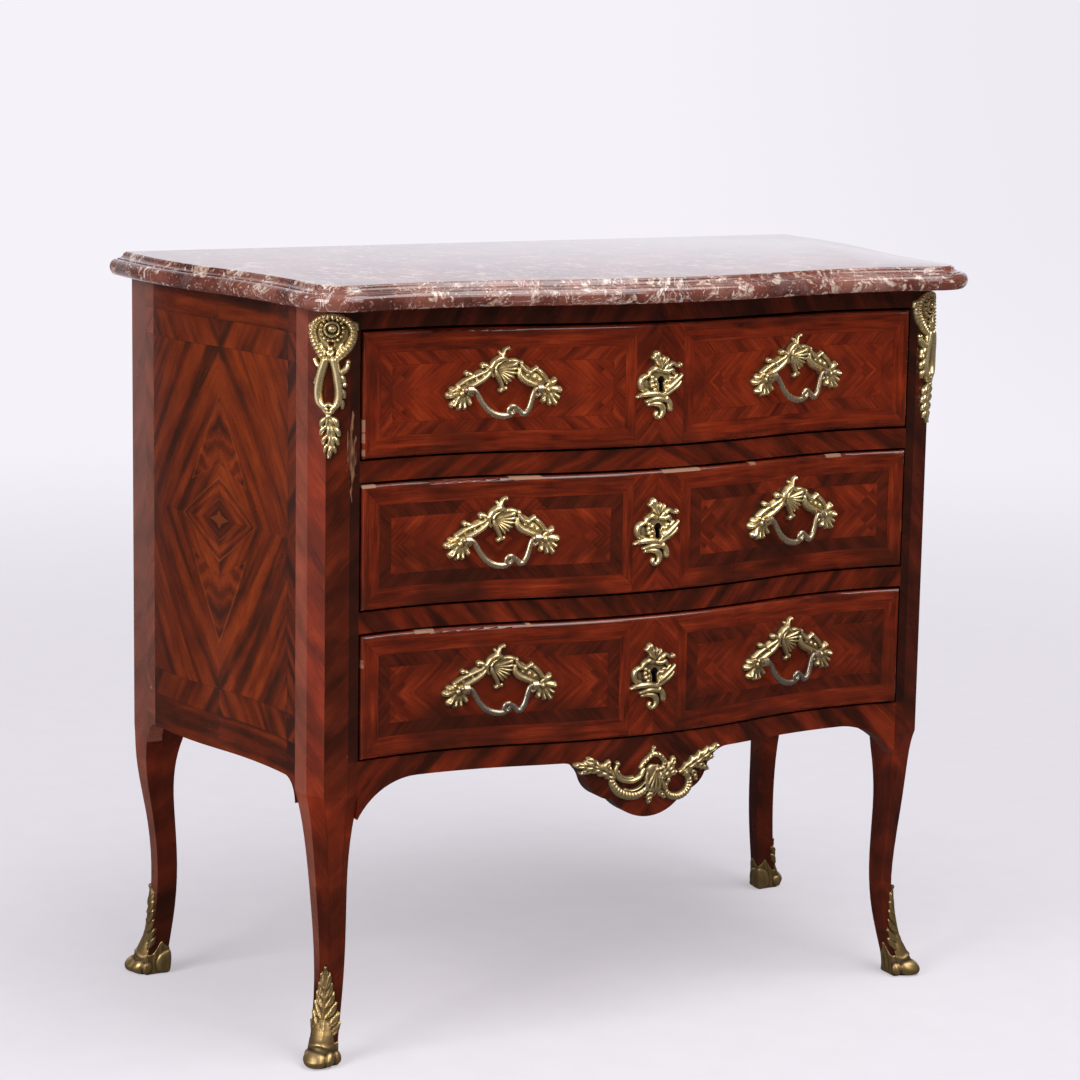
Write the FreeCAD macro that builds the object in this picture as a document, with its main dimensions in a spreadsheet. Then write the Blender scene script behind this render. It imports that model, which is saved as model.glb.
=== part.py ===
import FreeCAD, Part
import math
import os
import re

import Sketcher

# A commode chest with three drawers, in millimetres.
# The origin is on the floor under the middle of the marble, X to the right, Y to the back, Z up.

Vector = FreeCAD.Vector

# Driving dimensions, by the piece that they belong to
SIZES = [
    # marble top
    ("overall_height", "850"),
    ("marble_thickness", "26"),
    ("marble_front_overhang", "43"),
    ("marble_side_overhang", "20"),
    ("marble_rear_overhang", "23"),
    ("marble_back_overhang", "10"),
    ("marble_corner_radius", "50"),
    ("marble_step_inset", "21"),
    ("marble_step_height", "8"),
    ("marble_step_radius", "5"),
    ("marble_roll_radius", "9.5"),
    ("marble_undercut_radius", "6"),
    # serpentine front, measured on the face of the rails
    ("front_reach", "203"),
    ("front_bulge", "31"),
    ("flank_reach", "265"),
    ("turn_reach", "150"),
    # rails and apron
    ("rail_height", "23"),
    ("apron_thickness", "24"),
    ("apron_height", "23"),
    ("apron_drop", "92"),
    ("apron_lobe_half", "46"),
    ("apron_shoulder_half", "106"),
    ("apron_shoulder_drop", "68"),
    ("apron_knee_drop", "64"),
    ("apron_knee_reach", "74"),
    # posts and legs
    ("post_gap", "2.5"),
    ("strip_width", "11"),
    ("ridge_run", "24"),
    ("ridge_set_back", "9"),
    ("cant_run", "12"),
    ("cant_set_back", "20"),
    ("return_run", "3"),
    ("return_set_back", "23"),
    ("side_flare", "45"),
    ("back_reach", "236"),
    ("back_post_depth", "42"),
    ("back_post_width", "50"),
    ("knee_drop", "38"),
    ("leg_sway", "12"),
    ("sole_thickness", "4"),
    # side panels
    ("side_thickness", "18"),
    ("side_drop", "26"),
    ("side_arch", "26"),
    # back
    ("back_rail_height", "46"),
    ("back_rail_thickness", "22"),
    ("back_panel_thickness", "10"),
    ("back_tongue", "8"),
    ("lower_back_drop", "26"),
    # runners, kickers, dust panels and bottom board
    ("runner_height", "20"),
    ("runner_ledge", "24"),
    ("guide_width", "29"),
    ("guide_rise", "30"),
    ("guide_gap", "0.6"),
    ("run_gap", "0.3"),
    ("kicker_height", "14"),
    ("dust_thickness", "8"),
    ("dust_rise", "4"),
    # drawers
    ("drawer_half_width", "343.5"),
    ("drawer_height", "134"),
    ("drawer_gap", "2.5"),
    ("drawer_proud", "5"),
    ("drawer_thickness", "26"),
    ("drawer_lip_radius", "4"),
    ("drawer_rear_gap", "14"),
    ("drawer_side_inset", "1.5"),
    ("drawer_side_thickness", "12"),
    ("drawer_side_height", "122"),
    ("drawer_back_thickness", "12"),
    ("drawer_bottom_thickness", "7"),
    ("drawer_bottom_rise", "9"),
    ("groove_depth", "5"),
    ("tail_length", "15"),
    ("tail_flare", "3"),
    # locks and keyholes
    ("lock_width", "62"),
    ("lock_height", "82"),
    ("lock_depth", "13"),
    ("lock_inset", "11"),
    ("bolt_width", "20"),
    ("bolt_thickness", "5"),
    ("bolt_length", "26"),
    ("bolt_gap", "0.3"),
    ("bolt_throw", "9"),
    ("bolt_sink", "1"),
    ("keyhole_radius", "2.6"),
    ("keyhole_slot_width", "3"),
    ("keyhole_slot_length", "9"),
    # bronze mounts
    ("mount_relief", "6"),
    ("handle_reach", "183"),
    ("handle_rise", "69"),
    ("plate_width", "139"),
    ("plate_height", "66"),
    ("plate_drop", "21"),
    ("escutcheon_width", "58"),
    ("escutcheon_height", "72"),
    ("escutcheon_rise", "70"),
    ("keyhole_rise", "69"),
    ("corner_mount_width", "56"),
    ("corner_mount_height", "146"),
    ("corner_mount_top_gap", "9"),
    ("apron_mount_width", "186"),
    ("apron_mount_height", "72"),
    ("apron_mount_lift", "4"),
    ("sabot_wall", "3"),
    ("sabot_toe", "8"),
    ("sabot_cup_height", "27"),
    ("sabot_leaf_height", "96"),
    # bails and their posts
    ("bail_span", "78"),
    ("bail_drop", "30"),
    ("bail_wire_radius", "2.4"),
    ("bail_stand_off", "15"),
    ("bail_pin_length", "6"),
    ("eye_radius", "5"),
    ("eye_width", "6"),
    ("eye_gap", "0.08"),
    ("shank_radius", "2.6"),
    ("shank_gap", "0.2"),
    ("nut_radius", "6.5"),
    ("nut_height", "4"),
    ("nut_inset", "5"),
    ("nut_recess_radius", "8"),
    # overrun of every cut past the piece that it cuts
    ("overrun", "20"),
]

# Counts, shares and the least distance that counts as touching
TOUCH = 1e-4
DRAWER_NAMES = ("upper", "middle", "lower")
TAIL_COUNT = 3
NUT_SIDES = 6
TAIL_WIDTH_SHARE = 0.6
LEG_LEVEL_SHARES = (1.0, 0.875, 0.75, 0.62, 0.43, 0.24, 0.09, 0.0)
FRONT_GIRTH_SHARES = (1.0, 0.8, 0.67, 0.595, 0.52, 0.46, 0.45, 0.48)
FRONT_SWAY_SHARES = (0.0, -0.3, -0.4, -0.65, -1.0, -0.75, 0.1, 0.6)
BACK_GIRTH_SHARES = (1.0, 0.77, 0.62, 0.53, 0.49, 0.47, 0.46, 0.49)
BACK_SWAY_SHARES = (0.0, 0.45, 0.4, 0.05, -0.25, 0.0, 0.55, 0.9)
SABOT_LEVEL_SHARES = (1.0, 0.62, 0.28, 0.12, 0.0)
# Bail path: across the span and down the drop, with the corner radius as a share of the drop
BAIL_PATH_SHARES = (
    (-0.82, 0.0, 0.14), (-0.46, -0.86, 0.5), (0.1, -1.0, 0.22), (0.26, -0.66, 0.1),
    (0.48, -0.98, 0.17), (0.74, -0.5, 0.4), (0.82, 0.0, 0.12),
)
# Outlines of the mounts: across the width and up the height, clockwise from the left
PLATE_OUTLINE_SHARES = (
    (-0.5, 0.2), (-0.41, 0.36), (-0.33, 0.53), (-0.19, 0.65), (-0.11, 0.8), (-0.02, 0.9),
    (0.03, 1.0), (0.05, 0.84), (0.15, 0.74), (0.24, 0.62), (0.36, 0.44), (0.44, 0.38),
    (0.5, 0.24), (0.46, 0.06), (0.35, 0.04), (0.28, 0.22), (0.26, 0.38), (0.13, 0.46),
    (0.06, 0.38), (0.01, 0.25), (-0.04, 0.4), (-0.13, 0.5), (-0.25, 0.38), (-0.28, 0.2),
    (-0.32, 0.04), (-0.45, 0.06),
)
ESCUTCHEON_OUTLINE_SHARES = (
    (-0.5, 0.46), (-0.42, 0.66), (-0.3, 0.78), (-0.16, 0.98), (0.0, 0.93), (0.12, 1.0),
    (0.3, 0.84), (0.48, 0.74), (0.5, 0.56), (0.38, 0.4), (0.3, 0.24), (0.14, 0.12),
    (0.0, 0.0), (-0.14, 0.1), (-0.34, 0.2), (-0.46, 0.3),
)
CORNER_OUTLINE_SHARES = (
    (-0.5, 0.84), (-0.36, 0.97), (0.0, 1.0), (0.36, 0.97), (0.5, 0.84), (0.44, 0.7),
    (0.3, 0.62), (0.34, 0.48), (0.22, 0.34), (0.12, 0.26), (0.16, 0.14), (0.0, 0.0),
    (-0.16, 0.14), (-0.12, 0.26), (-0.22, 0.34), (-0.34, 0.48), (-0.3, 0.62), (-0.44, 0.7),
)
APRON_OUTLINE_SHARES = (
    (-0.5, 0.7), (-0.44, 0.86), (-0.32, 0.78), (-0.18, 0.62), (-0.09, 0.84), (0.0, 1.0),
    (0.1, 0.88), (0.18, 0.68), (0.3, 0.8), (0.42, 0.98), (0.5, 0.88), (0.4, 0.58),
    (0.24, 0.38), (0.12, 0.2), (0.0, 0.0), (-0.12, 0.16), (-0.26, 0.34), (-0.4, 0.54),
)

doc = FreeCAD.newDocument("commode")
sheet = doc.addObject("Spreadsheet::Sheet", "Sizes")
for row, (alias, value) in enumerate(SIZES, 1):
    sheet.set(f"A{row}", alias)
    sheet.set(f"B{row}", value)
    sheet.setAlias(f"B{row}", alias)
doc.recompute()
ALIASES = {alias for alias, value in SIZES}


def bound(text):
    """An expression on the sheet's aliases, as the document's objects take it."""
    return re.sub(r"[a-z_]+", lambda word: "Sizes." + word[0] if word[0] in ALIASES else word[0], text)


def size(text):
    """The number that an expression gives now."""
    value = sheet.evalExpression(bound(text))
    return float(getattr(value, "Value", value))


# Levels
CARCASS_TOP = "(overall_height - marble_thickness)"
PITCH = "(rail_height + drawer_height + 2 * drawer_gap)"
APRON_TOP = f"({CARCASS_TOP} - {len(DRAWER_NAMES)} * {PITCH})"
KNEE_LEVEL = f"({APRON_TOP} - knee_drop)"
SIDE_LOW = f"({APRON_TOP} - side_drop)"
BACK_LOW = f"({APRON_TOP} - lower_back_drop)"

# Serpentine front: a convex middle arc between two hollow flank arcs, tangent where they turn
TURN = "(2 * atan(front_bulge / flank_reach))"
CENTRE_RADIUS = f"(turn_reach / sin({TURN}))"
FLANK_RADIUS = f"((flank_reach - turn_reach) / sin({TURN}))"
FLANK_CENTRE_Y = f"(front_bulge - front_reach - {FLANK_RADIUS})"

# Corner of the carcass, right-hand side
POST_INNER = "(drawer_half_width + post_gap)"
STRIP_OUTER = f"({POST_INNER} + strip_width)"
RIDGE_X = f"({STRIP_OUTER} + ridge_run)"
CANT_X = f"({RIDGE_X} + cant_run)"
SIDE_FRONT_X = f"({CANT_X} + return_run)"
STRIP_Y = f"({FLANK_CENTRE_Y} + sqrt({FLANK_RADIUS} ^ 2 - ({POST_INNER} - flank_reach) ^ 2))"
RIDGE_Y = f"({STRIP_Y} + ridge_set_back)"
CANT_Y = f"({RIDGE_Y} + cant_set_back)"
POST_BACK_Y = f"({CANT_Y} + return_set_back)"
SIDE_BACK_X = f"({SIDE_FRONT_X} + side_flare)"
SIDE_BACK_Y = "(back_reach - back_post_depth)"
BACK_INNER_X = f"({SIDE_BACK_X} - back_post_width)"
BACK_FACE_Y = "(back_reach - back_rail_thickness)"
DRAWER_BACK_Y = f"({BACK_FACE_Y} - drawer_rear_gap)"
LOCK_FRONT_Y = "(drawer_thickness - front_reach - drawer_proud - lock_inset)"
BOLT_FRONT_Y = f"({LOCK_FRONT_Y} + lock_depth / 2 - bolt_thickness / 2)"
RUN_FRONT_X = f"({POST_INNER} - runner_ledge)"
GUIDE_X = "(drawer_half_width - drawer_side_inset + guide_gap)"


def flank_y(across, offset):
    """Depth of the front's flank arc, moved out by an offset."""
    return f"({FLANK_CENTRE_Y} + sqrt(({FLANK_RADIUS} - ({offset})) ^ 2 - (({across}) - flank_reach) ^ 2))"


def front_run(half, offset):
    """The front's line from left to right, moved out by an offset."""
    turn_x = f"(({CENTRE_RADIUS} + ({offset})) * sin({TURN}))"
    turn_y = f"({CENTRE_RADIUS} - front_reach - ({CENTRE_RADIUS} + ({offset})) * cos({TURN}))"
    flank = f"({FLANK_RADIUS} - ({offset}))"
    centre = f"({CENTRE_RADIUS} + ({offset}))"
    return [
        (f"-({half})", flank_y(half, offset), flank, 1),
        (f"-{turn_x}", turn_y, centre, -1),
        (turn_x, turn_y, flank, 1),
        (f"({half})", flank_y(half, offset)),
    ]


def side_run(front_x, front_y, back_x, back_y, inset):
    """The right side's line from front to back: a hollow arc that turns into a full one."""
    half_in = f"(({back_x} - {front_x}) / 2)"
    half_along = f"(({back_y} - ({front_y})) / 2)"
    radius = f"(({half_in} ^ 2 + {half_along} ^ 2) / (2 * {half_in}))"
    turn_x = f"({front_x} + {radius} - ({radius} + {inset}) * (1 - {half_in} / {radius}))"
    turn_y = f"({front_y} + ({radius} + {inset}) * {half_along} / {radius})"
    return [
        (f"({front_x} - {inset})", front_y, f"({radius} + {inset})", 1),
        (turn_x, turn_y, f"({radius} - {inset})", -1),
        (f"({back_x} - {inset})", back_y),
    ]


def backwards(run):
    """The same line walked the other way."""
    turned = [run[-1][:2]]
    for vertex in reversed(run[:-1]):
        if len(vertex) > 2:
            turned[-1] = turned[-1] + (vertex[2], -vertex[3])
        turned.append(vertex[:2])
    return turned


def mirrored(run):
    """A line of the right side on the left side, walked the other way."""
    return [
        (f"-({vertex[0]})", vertex[1]) + tuple(vertex[2:3]) + tuple(-bow for bow in vertex[3:])
        for vertex in backwards(run)
    ]


def sketch(body, name, role, outline, start):
    """A closed outline of lines and arcs on one of a body's own planes."""
    drawing = body.newObject("Sketcher::SketchObject", name)
    plane = next(face for face in body.Origin.OriginFeatures if face.Role == role)
    drawing.AttachmentSupport = [(plane, "")]
    drawing.MapMode = "FlatFace"
    drawing.setExpression("AttachmentOffset.Base.z", bound(start))
    corners = [Vector(size(vertex[0]), size(vertex[1]), 0) for vertex in outline]
    ends = []
    for number, vertex in enumerate(outline):
        here = corners[number]
        there = corners[(number + 1) % len(corners)]
        if len(vertex) == 2:
            drawing.addGeometry(Part.LineSegment(here, there), False)
            ends.append((1, 2))
            continue
        radius = size(vertex[2])
        bow = vertex[3]
        chord = there - here
        left = Vector(-chord.y, chord.x, 0).normalize()
        centre = (here + there) * 0.5 - left * bow * math.sqrt(radius ** 2 - chord.Length ** 2 / 4)
        first, last = (there, here) if bow > 0 else (here, there)
        begin = math.atan2(first.y - centre.y, first.x - centre.x)
        finish = math.atan2(last.y - centre.y, last.x - centre.x)
        circle = Part.Circle(centre, Vector(0, 0, 1), radius)
        drawing.addGeometry(Part.ArcOfCircle(circle, begin, finish), False)
        ends.append((2, 1) if bow > 0 else (1, 2))
    for number, vertex in enumerate(outline):
        following = (number + 1) % len(outline)
        drawing.addConstraint(
            Sketcher.Constraint("Coincident", number, ends[number][1], following, ends[following][0]))
    for number, vertex in enumerate(outline):
        for kind, text in (("DistanceX", vertex[0]), ("DistanceY", vertex[1])):
            index = drawing.addConstraint(
                Sketcher.Constraint(kind, -1, 1, number, ends[number][0], size(text)))
            drawing.setExpression(f"Constraints[{index}]", bound(text))
        if len(vertex) > 2:
            index = drawing.addConstraint(Sketcher.Constraint("Radius", number, size(vertex[2])))
            drawing.setExpression(f"Constraints[{index}]", bound(vertex[2]))
    return drawing


def prism(name, role, outline, start, length):
    """A body padded from an outline, along its plane's own normal."""
    body = doc.addObject("PartDesign::Body", name)
    pad = body.newObject("PartDesign::Pad", name + "_pad")
    pad.Profile = sketch(body, name + "_outline", role, outline, start)
    pad.setExpression("Length", bound(length))
    return body


def board(name, outline, low, high):
    """A piece with a shaped plan, between two levels."""
    return prism(name, "XY_Plane", outline, low, f"({high}) - ({low})")


def box(name, low, high):
    """A straight block between two corners, each three expressions."""
    block = doc.addObject("Part::Box", name)
    for side, axis, near, far in zip(("Length", "Width", "Height"), "xyz", low, high):
        block.setExpression(side, bound(f"({far}) - ({near})"))
        block.setExpression(f"Placement.Base.{axis}", bound(near))
    return block


def rod(name, radius, low, high):
    """A cylinder along Y between two depths, about the local origin."""
    cylinder = doc.addObject("Part::Cylinder", name)
    cylinder.setExpression("Radius", bound(radius))
    cylinder.setExpression("Height", bound(f"({high}) - ({low})"))
    cylinder.Placement = FreeCAD.Placement(Vector(0, 0, 0), FreeCAD.Rotation(Vector(-1, 0, 0), 90))
    cylinder.setExpression("Placement.Base.y", bound(low))
    return cylinder


def group(name, pieces):
    compound = doc.addObject("Part::Compound", name)
    compound.Links = pieces
    return compound


def fuse(name, pieces):
    joined = doc.addObject("Part::MultiFuse", name)
    joined.Shapes = pieces
    return joined


def cut(name, base, tools):
    """A piece with tools taken out of it, and a check that they met it."""
    result = doc.addObject("Part::Cut", name)
    result.Base = base
    result.Tool = tools[0] if len(tools) == 1 else fuse(name + "_tools", tools)
    doc.recompute()
    assert result.Shape.Volume < base.Shape.Volume, name + ": nothing was cut"
    return result


def common(name, first, second):
    result = doc.addObject("Part::Common", name)
    result.Base = first
    result.Tool = second
    return result


def mirror(name, source):
    """The piece on the other side of the chest."""
    reflection = doc.addObject("Part::Mirroring", name)
    reflection.Source = source
    reflection.Normal = (1, 0, 0)
    return reflection


def placed(name, pieces, place, angle):
    """Pieces of a local frame set at a place and turned about Z."""
    compound = group(name, pieces)
    for axis, text in zip("xyz", place):
        compound.setExpression(f"Placement.Base.{axis}", bound(text))
    compound.setExpression("Placement.Rotation.Angle", bound(angle))
    return compound


def ornament(name, shares, width, height, low, depth):
    """A blank of a mount: its smooth outline across X and up Z, from depth behind to depth before."""
    wide, tall, base, deep = size(width), size(height), size(low), size(depth)
    points = [Vector(across * wide, deep, base + up * tall) for across, up in shares]
    curve = Part.BSplineCurve()
    curve.interpolate(Points=points, PeriodicFlag=True)
    face = Part.Face(Part.Wire(curve.toShape()))
    blank = doc.addObject("Part::Feature", name)
    blank.Shape = face.extrude(Vector(0, -2 * deep, 0))
    return blank


parts = {}


def keep(node, piece):
    """Names a finished piece, which becomes a node of that name."""
    piece.Label = node
    parts[node] = piece


# Marble top: a full roll under a smaller step
def marble_outline(inset):
    side_x = f"({SIDE_FRONT_X} + marble_side_overhang)"
    rear_x = f"({SIDE_BACK_X} + marble_rear_overhang)"
    flank = f"({FLANK_RADIUS} - marble_front_overhang)"
    corner_x = f"({side_x} - marble_corner_radius)"
    reach = f"({flank} + marble_corner_radius)"
    corner_y = f"({FLANK_CENTRE_Y} + sqrt({reach} ^ 2 - ({corner_x} - flank_reach) ^ 2))"
    touch_x = f"(flank_reach + ({corner_x} - flank_reach) * ({flank} + {inset}) / {reach})"
    corner_arc = (f"(marble_corner_radius - {inset})", -1)
    front = front_run(touch_x, f"marble_front_overhang - {inset}")
    front[-1] = front[-1] + corner_arc
    right = side_run(side_x, corner_y, rear_x, SIDE_BACK_Y, inset)
    right.append((f"({rear_x} - {inset})", "(back_reach + marble_back_overhang)"))
    left = mirrored(right)
    left[-1] = left[-1] + corner_arc
    return front + right + left


def rim_edges(shape, level):
    """Edges of a flat level that run along the front and the sides, without the straight back."""
    height = size(level)
    back = size("back_reach + marble_back_overhang")
    names = []
    for number, edge in enumerate(shape.Edges, 1):
        bounds = edge.BoundBox
        flat = abs(bounds.ZMin - height) < TOUCH and abs(bounds.ZMax - height) < TOUCH
        if flat and bounds.YMin < back - TOUCH:
            names.append(f"Edge{number}")
    return names


def rounded(body, name, edges, radius):
    """Adds a fillet to a body on edges of its last feature."""
    base = body.Tip
    fillet = body.newObject("PartDesign::Fillet", name)
    fillet.Base = (base, edges)
    fillet.setExpression("Radius", bound(radius))
    body.Tip = fillet
    doc.recompute()


def marble_top():
    step_level = "overall_height - marble_step_height"
    body = board("marble", marble_outline("0"), CARCASS_TOP, step_level)
    doc.recompute()
    rounded(body, "marble_roll", rim_edges(body.Tip.Shape, step_level), "marble_roll_radius")
    rounded(body, "marble_undercut", rim_edges(body.Tip.Shape, CARCASS_TOP), "marble_undercut_radius")
    step = body.newObject("PartDesign::Pad", "marble_step")
    step.Profile = sketch(
        body, "marble_step_outline", "XY_Plane", marble_outline("marble_step_inset"), step_level)
    step.setExpression("Length", bound("marble_step_height"))
    body.Tip = step
    doc.recompute()
    rounded(body, "marble_edge", rim_edges(step.Shape, "overall_height"), "marble_step_radius")
    keep("marble_top", body)


# Posts: the stile is padded up from the knee, and the leg is lofted down to the sole
FRONT_POST = [
    (POST_INNER, STRIP_Y), (STRIP_OUTER, STRIP_Y), (RIDGE_X, RIDGE_Y), (CANT_X, CANT_Y),
    (SIDE_FRONT_X, POST_BACK_Y), (POST_INNER, POST_BACK_Y),
]
FRONT_CENTRE = (f"(({POST_INNER} + {SIDE_FRONT_X}) / 2)", f"(({STRIP_Y} + {POST_BACK_Y}) / 2)")
FRONT_SPLAY = "45"
BACK_POST = [
    (BACK_INNER_X, SIDE_BACK_Y), (SIDE_BACK_X, SIDE_BACK_Y), (SIDE_BACK_X, "back_reach"),
    (BACK_INNER_X, "back_reach"),
]
BACK_CENTRE = (f"(({BACK_INNER_X} + {SIDE_BACK_X}) / 2)", f"(({SIDE_BACK_Y} + back_reach) / 2)")
BACK_SPLAY = "120"


def section(outline, centre, splay, girth, sway):
    """A leg's outline drawn in about its centre and swayed out at its splay, an angle from the front."""
    way = (f"sin({splay} deg)", f"-cos({splay} deg)")
    return [
        tuple(f"({mid} + ({girth}) * ({at} - {mid}) + ({sway}) * {out})"
              for at, mid, out in zip(vertex, centre, way))
        for vertex in outline
    ]


def leg_share(table, level):
    """A leg's table of shares read between its levels."""
    for number in range(1, len(LEG_LEVEL_SHARES)):
        upper, lower = LEG_LEVEL_SHARES[number - 1], LEG_LEVEL_SHARES[number]
        if level >= lower:
            along = (upper - level) / (upper - lower)
            return table[number - 1] + along * (table[number] - table[number - 1])
    return table[-1]


def loft(body, name, sections):
    shape = body.newObject("PartDesign::AdditiveLoft", name)
    shape.Profile = sections[0]
    shape.Sections = sections[1:]
    body.Tip = shape


def post(name, outline, centre, splay, girths, sways):
    body = board(name, outline, KNEE_LEVEL, CARCASS_TOP)
    sections = []
    for level, girth, sway in zip(LEG_LEVEL_SHARES, girths, sways):
        drawn = section(outline, centre, splay, str(girth), f"{sway} * leg_sway")
        height = f"sole_thickness + {level} * ({KNEE_LEVEL} - sole_thickness)"
        sections.append(sketch(body, name + "_section", "XY_Plane", drawn, height))
    loft(body, name + "_leg", sections)
    return body


def sabot(name, outline, centre, splay, girths, sways, leg):
    """A bronze shoe cast round the foot: a cup with a toe, and a leaf up the outer side."""
    body = doc.addObject("PartDesign::Body", name + "_casting")
    half_girth = f"({centre[0]} - {outline[0][0]})"
    sections = []
    for share in SABOT_LEVEL_SHARES:
        level = size(f"{share} * sabot_leaf_height / {KNEE_LEVEL}")
        girth = f"{leg_share(girths, level)} + sabot_wall / {half_girth}"
        sway = f"{leg_share(sways, level)} * leg_sway + {(1 - share) ** 3} * sabot_toe"
        drawn = section(outline, centre, splay, girth, sway)
        sections.append(sketch(body, name + "_section", "XY_Plane", drawn, f"{share} * sabot_leaf_height"))
    loft(body, name + "_loft", sections)
    notch = box(name + "_notch", ("-overrun", "0", "sabot_cup_height"),
                ("overrun", "2 * overrun", "sabot_leaf_height + overrun"))
    opening = placed(name + "_opening", [notch], centre + ("0",), splay)
    return cut(name, body, [leg, opening])


def posts_and_sabots():
    front = (FRONT_POST, FRONT_CENTRE, FRONT_SPLAY, FRONT_GIRTH_SHARES, FRONT_SWAY_SHARES)
    back = (BACK_POST, BACK_CENTRE, BACK_SPLAY, BACK_GIRTH_SHARES, BACK_SWAY_SHARES)
    for place, drawn in (("front", front), ("back", back)):
        right = post(f"{place}_post", *drawn)
        keep(f"post_{place}_right", right)
        keep(f"post_{place}_left", mirror(f"{place}_post_left", right))
        doc.recompute()
        shoe = sabot(f"{place}_sabot", *drawn, right)
        keep(f"sabots_{place}", group(f"{place}_sabots", [shoe, mirror(f"{place}_sabot_left", shoe)]))


# Side panels: serpentine boards with a rounded lower edge between the legs
def side_panels():
    ends = (SIDE_FRONT_X, POST_BACK_Y, SIDE_BACK_X, SIDE_BACK_Y)
    outline = side_run(*ends, "0") + backwards(side_run(*ends, "side_thickness"))
    low = f"({SIDE_LOW} - side_arch)"
    blank = board("side_blank", outline, low, CARCASS_TOP)
    arch = prism("side_opening", "YZ_Plane", [
        (POST_BACK_Y, low, "side_arch", 1), (f"({POST_BACK_Y} + side_arch)", SIDE_LOW),
        (f"({SIDE_BACK_Y} - side_arch)", SIDE_LOW, "side_arch", 1), (SIDE_BACK_Y, low),
    ], "0", f"{SIDE_BACK_X} + overrun")
    doc.recompute()
    panel = cut("side_panel", blank, [arch])
    keep("side_panel_right", panel)
    keep("side_panel_left", mirror("side_panel_reflection", panel))


# Rails: serpentine in front, straight behind, with a mortise for the bolt of the lock below
def drawer_low(number):
    """Lower edge of a drawer front, counted from the upper drawer."""
    return f"({APRON_TOP} + drawer_gap + {len(DRAWER_NAMES) - 1 - number} * {PITCH})"


def front_rails():
    outline = front_run(POST_INNER, "0") + [(POST_INNER, POST_BACK_Y), (f"-{POST_INNER}", POST_BACK_Y)]
    for number, node in enumerate(("top_rail", "divider_rail_upper", "divider_rail_lower")):
        low = f"({drawer_low(number)} + drawer_height + drawer_gap)"
        blank = board(node + "_blank", outline, low, f"{low} + rail_height")
        mortise = box(node + "_mortise",
                      ("-bolt_width / 2 - 2 * bolt_gap", f"{BOLT_FRONT_Y} - 2 * bolt_gap", f"{low} - overrun"),
                      ("bolt_width / 2 + 2 * bolt_gap", f"{BOLT_FRONT_Y} + bolt_thickness + 2 * bolt_gap",
                       f"{low} + bolt_throw"))
        doc.recompute()
        keep(node, cut(node, blank, [mortise]))


def apron_rail():
    flat = f"({APRON_TOP} - apron_height)"
    low = f"({APRON_TOP} - apron_drop)"
    knee = f"({APRON_TOP} - apron_knee_drop)"
    shoulder = f"({APRON_TOP} - apron_shoulder_drop)"
    knee_x = f"({POST_INNER} - apron_knee_reach)"
    middle = ("((apron_shoulder_half + apron_lobe_half) / 2)", f"(({flat} + {shoulder}) / 2)")

    def arc_radius(across, up):
        """Radius of an arc that starts level and runs so far across and up."""
        return f"((({across}) ^ 2 + ({up}) ^ 2) / (2 * ({up})))"

    knee_radius = arc_radius("apron_knee_reach", "apron_knee_drop - apron_height")
    ogee_radius = arc_radius("(apron_shoulder_half - apron_lobe_half) / 2",
                             "(apron_shoulder_drop - apron_height) / 2")
    lobe_radius = arc_radius("apron_lobe_half", "apron_drop - apron_shoulder_drop")
    right = [
        ("apron_lobe_half", shoulder, ogee_radius, -1), middle + (ogee_radius, 1),
        ("apron_shoulder_half", flat), (knee_x, flat, knee_radius, 1), (POST_INNER, knee),
        (POST_INNER, APRON_TOP),
    ]
    left = mirrored(right)
    left[-1] = left[-1] + (lobe_radius, -1)
    elevation = prism("apron_elevation", "XZ_Plane", left + right, "0", "front_reach + overrun")
    curve = front_run(POST_INNER, "0") + backwards(front_run(POST_INNER, "-apron_thickness"))
    keep("apron_rail", common("apron", board("apron_board", curve, low, APRON_TOP), elevation))


# Back: two rails rebated for a panel
def back_frame():
    lower_top = f"({BACK_LOW} + back_rail_height)"
    upper_low = f"({CARCASS_TOP} - back_rail_height)"
    panel = box("back_board", (f"-{BACK_INNER_X}", BACK_FACE_Y, f"{lower_top} - back_tongue"),
                (BACK_INNER_X, f"{BACK_FACE_Y} + back_panel_thickness", f"{upper_low} + back_tongue"))
    keep("back_panel", panel)
    for node, low, high in (("back_rail_bottom", BACK_LOW, lower_top),
                            ("back_rail_top", upper_low, CARCASS_TOP)):
        blank = box(node + "_blank", (f"-{BACK_INNER_X}", BACK_FACE_Y, low),
                    (BACK_INNER_X, "back_reach", high))
        doc.recompute()
        keep(node, cut(node, blank, [panel]))


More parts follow.
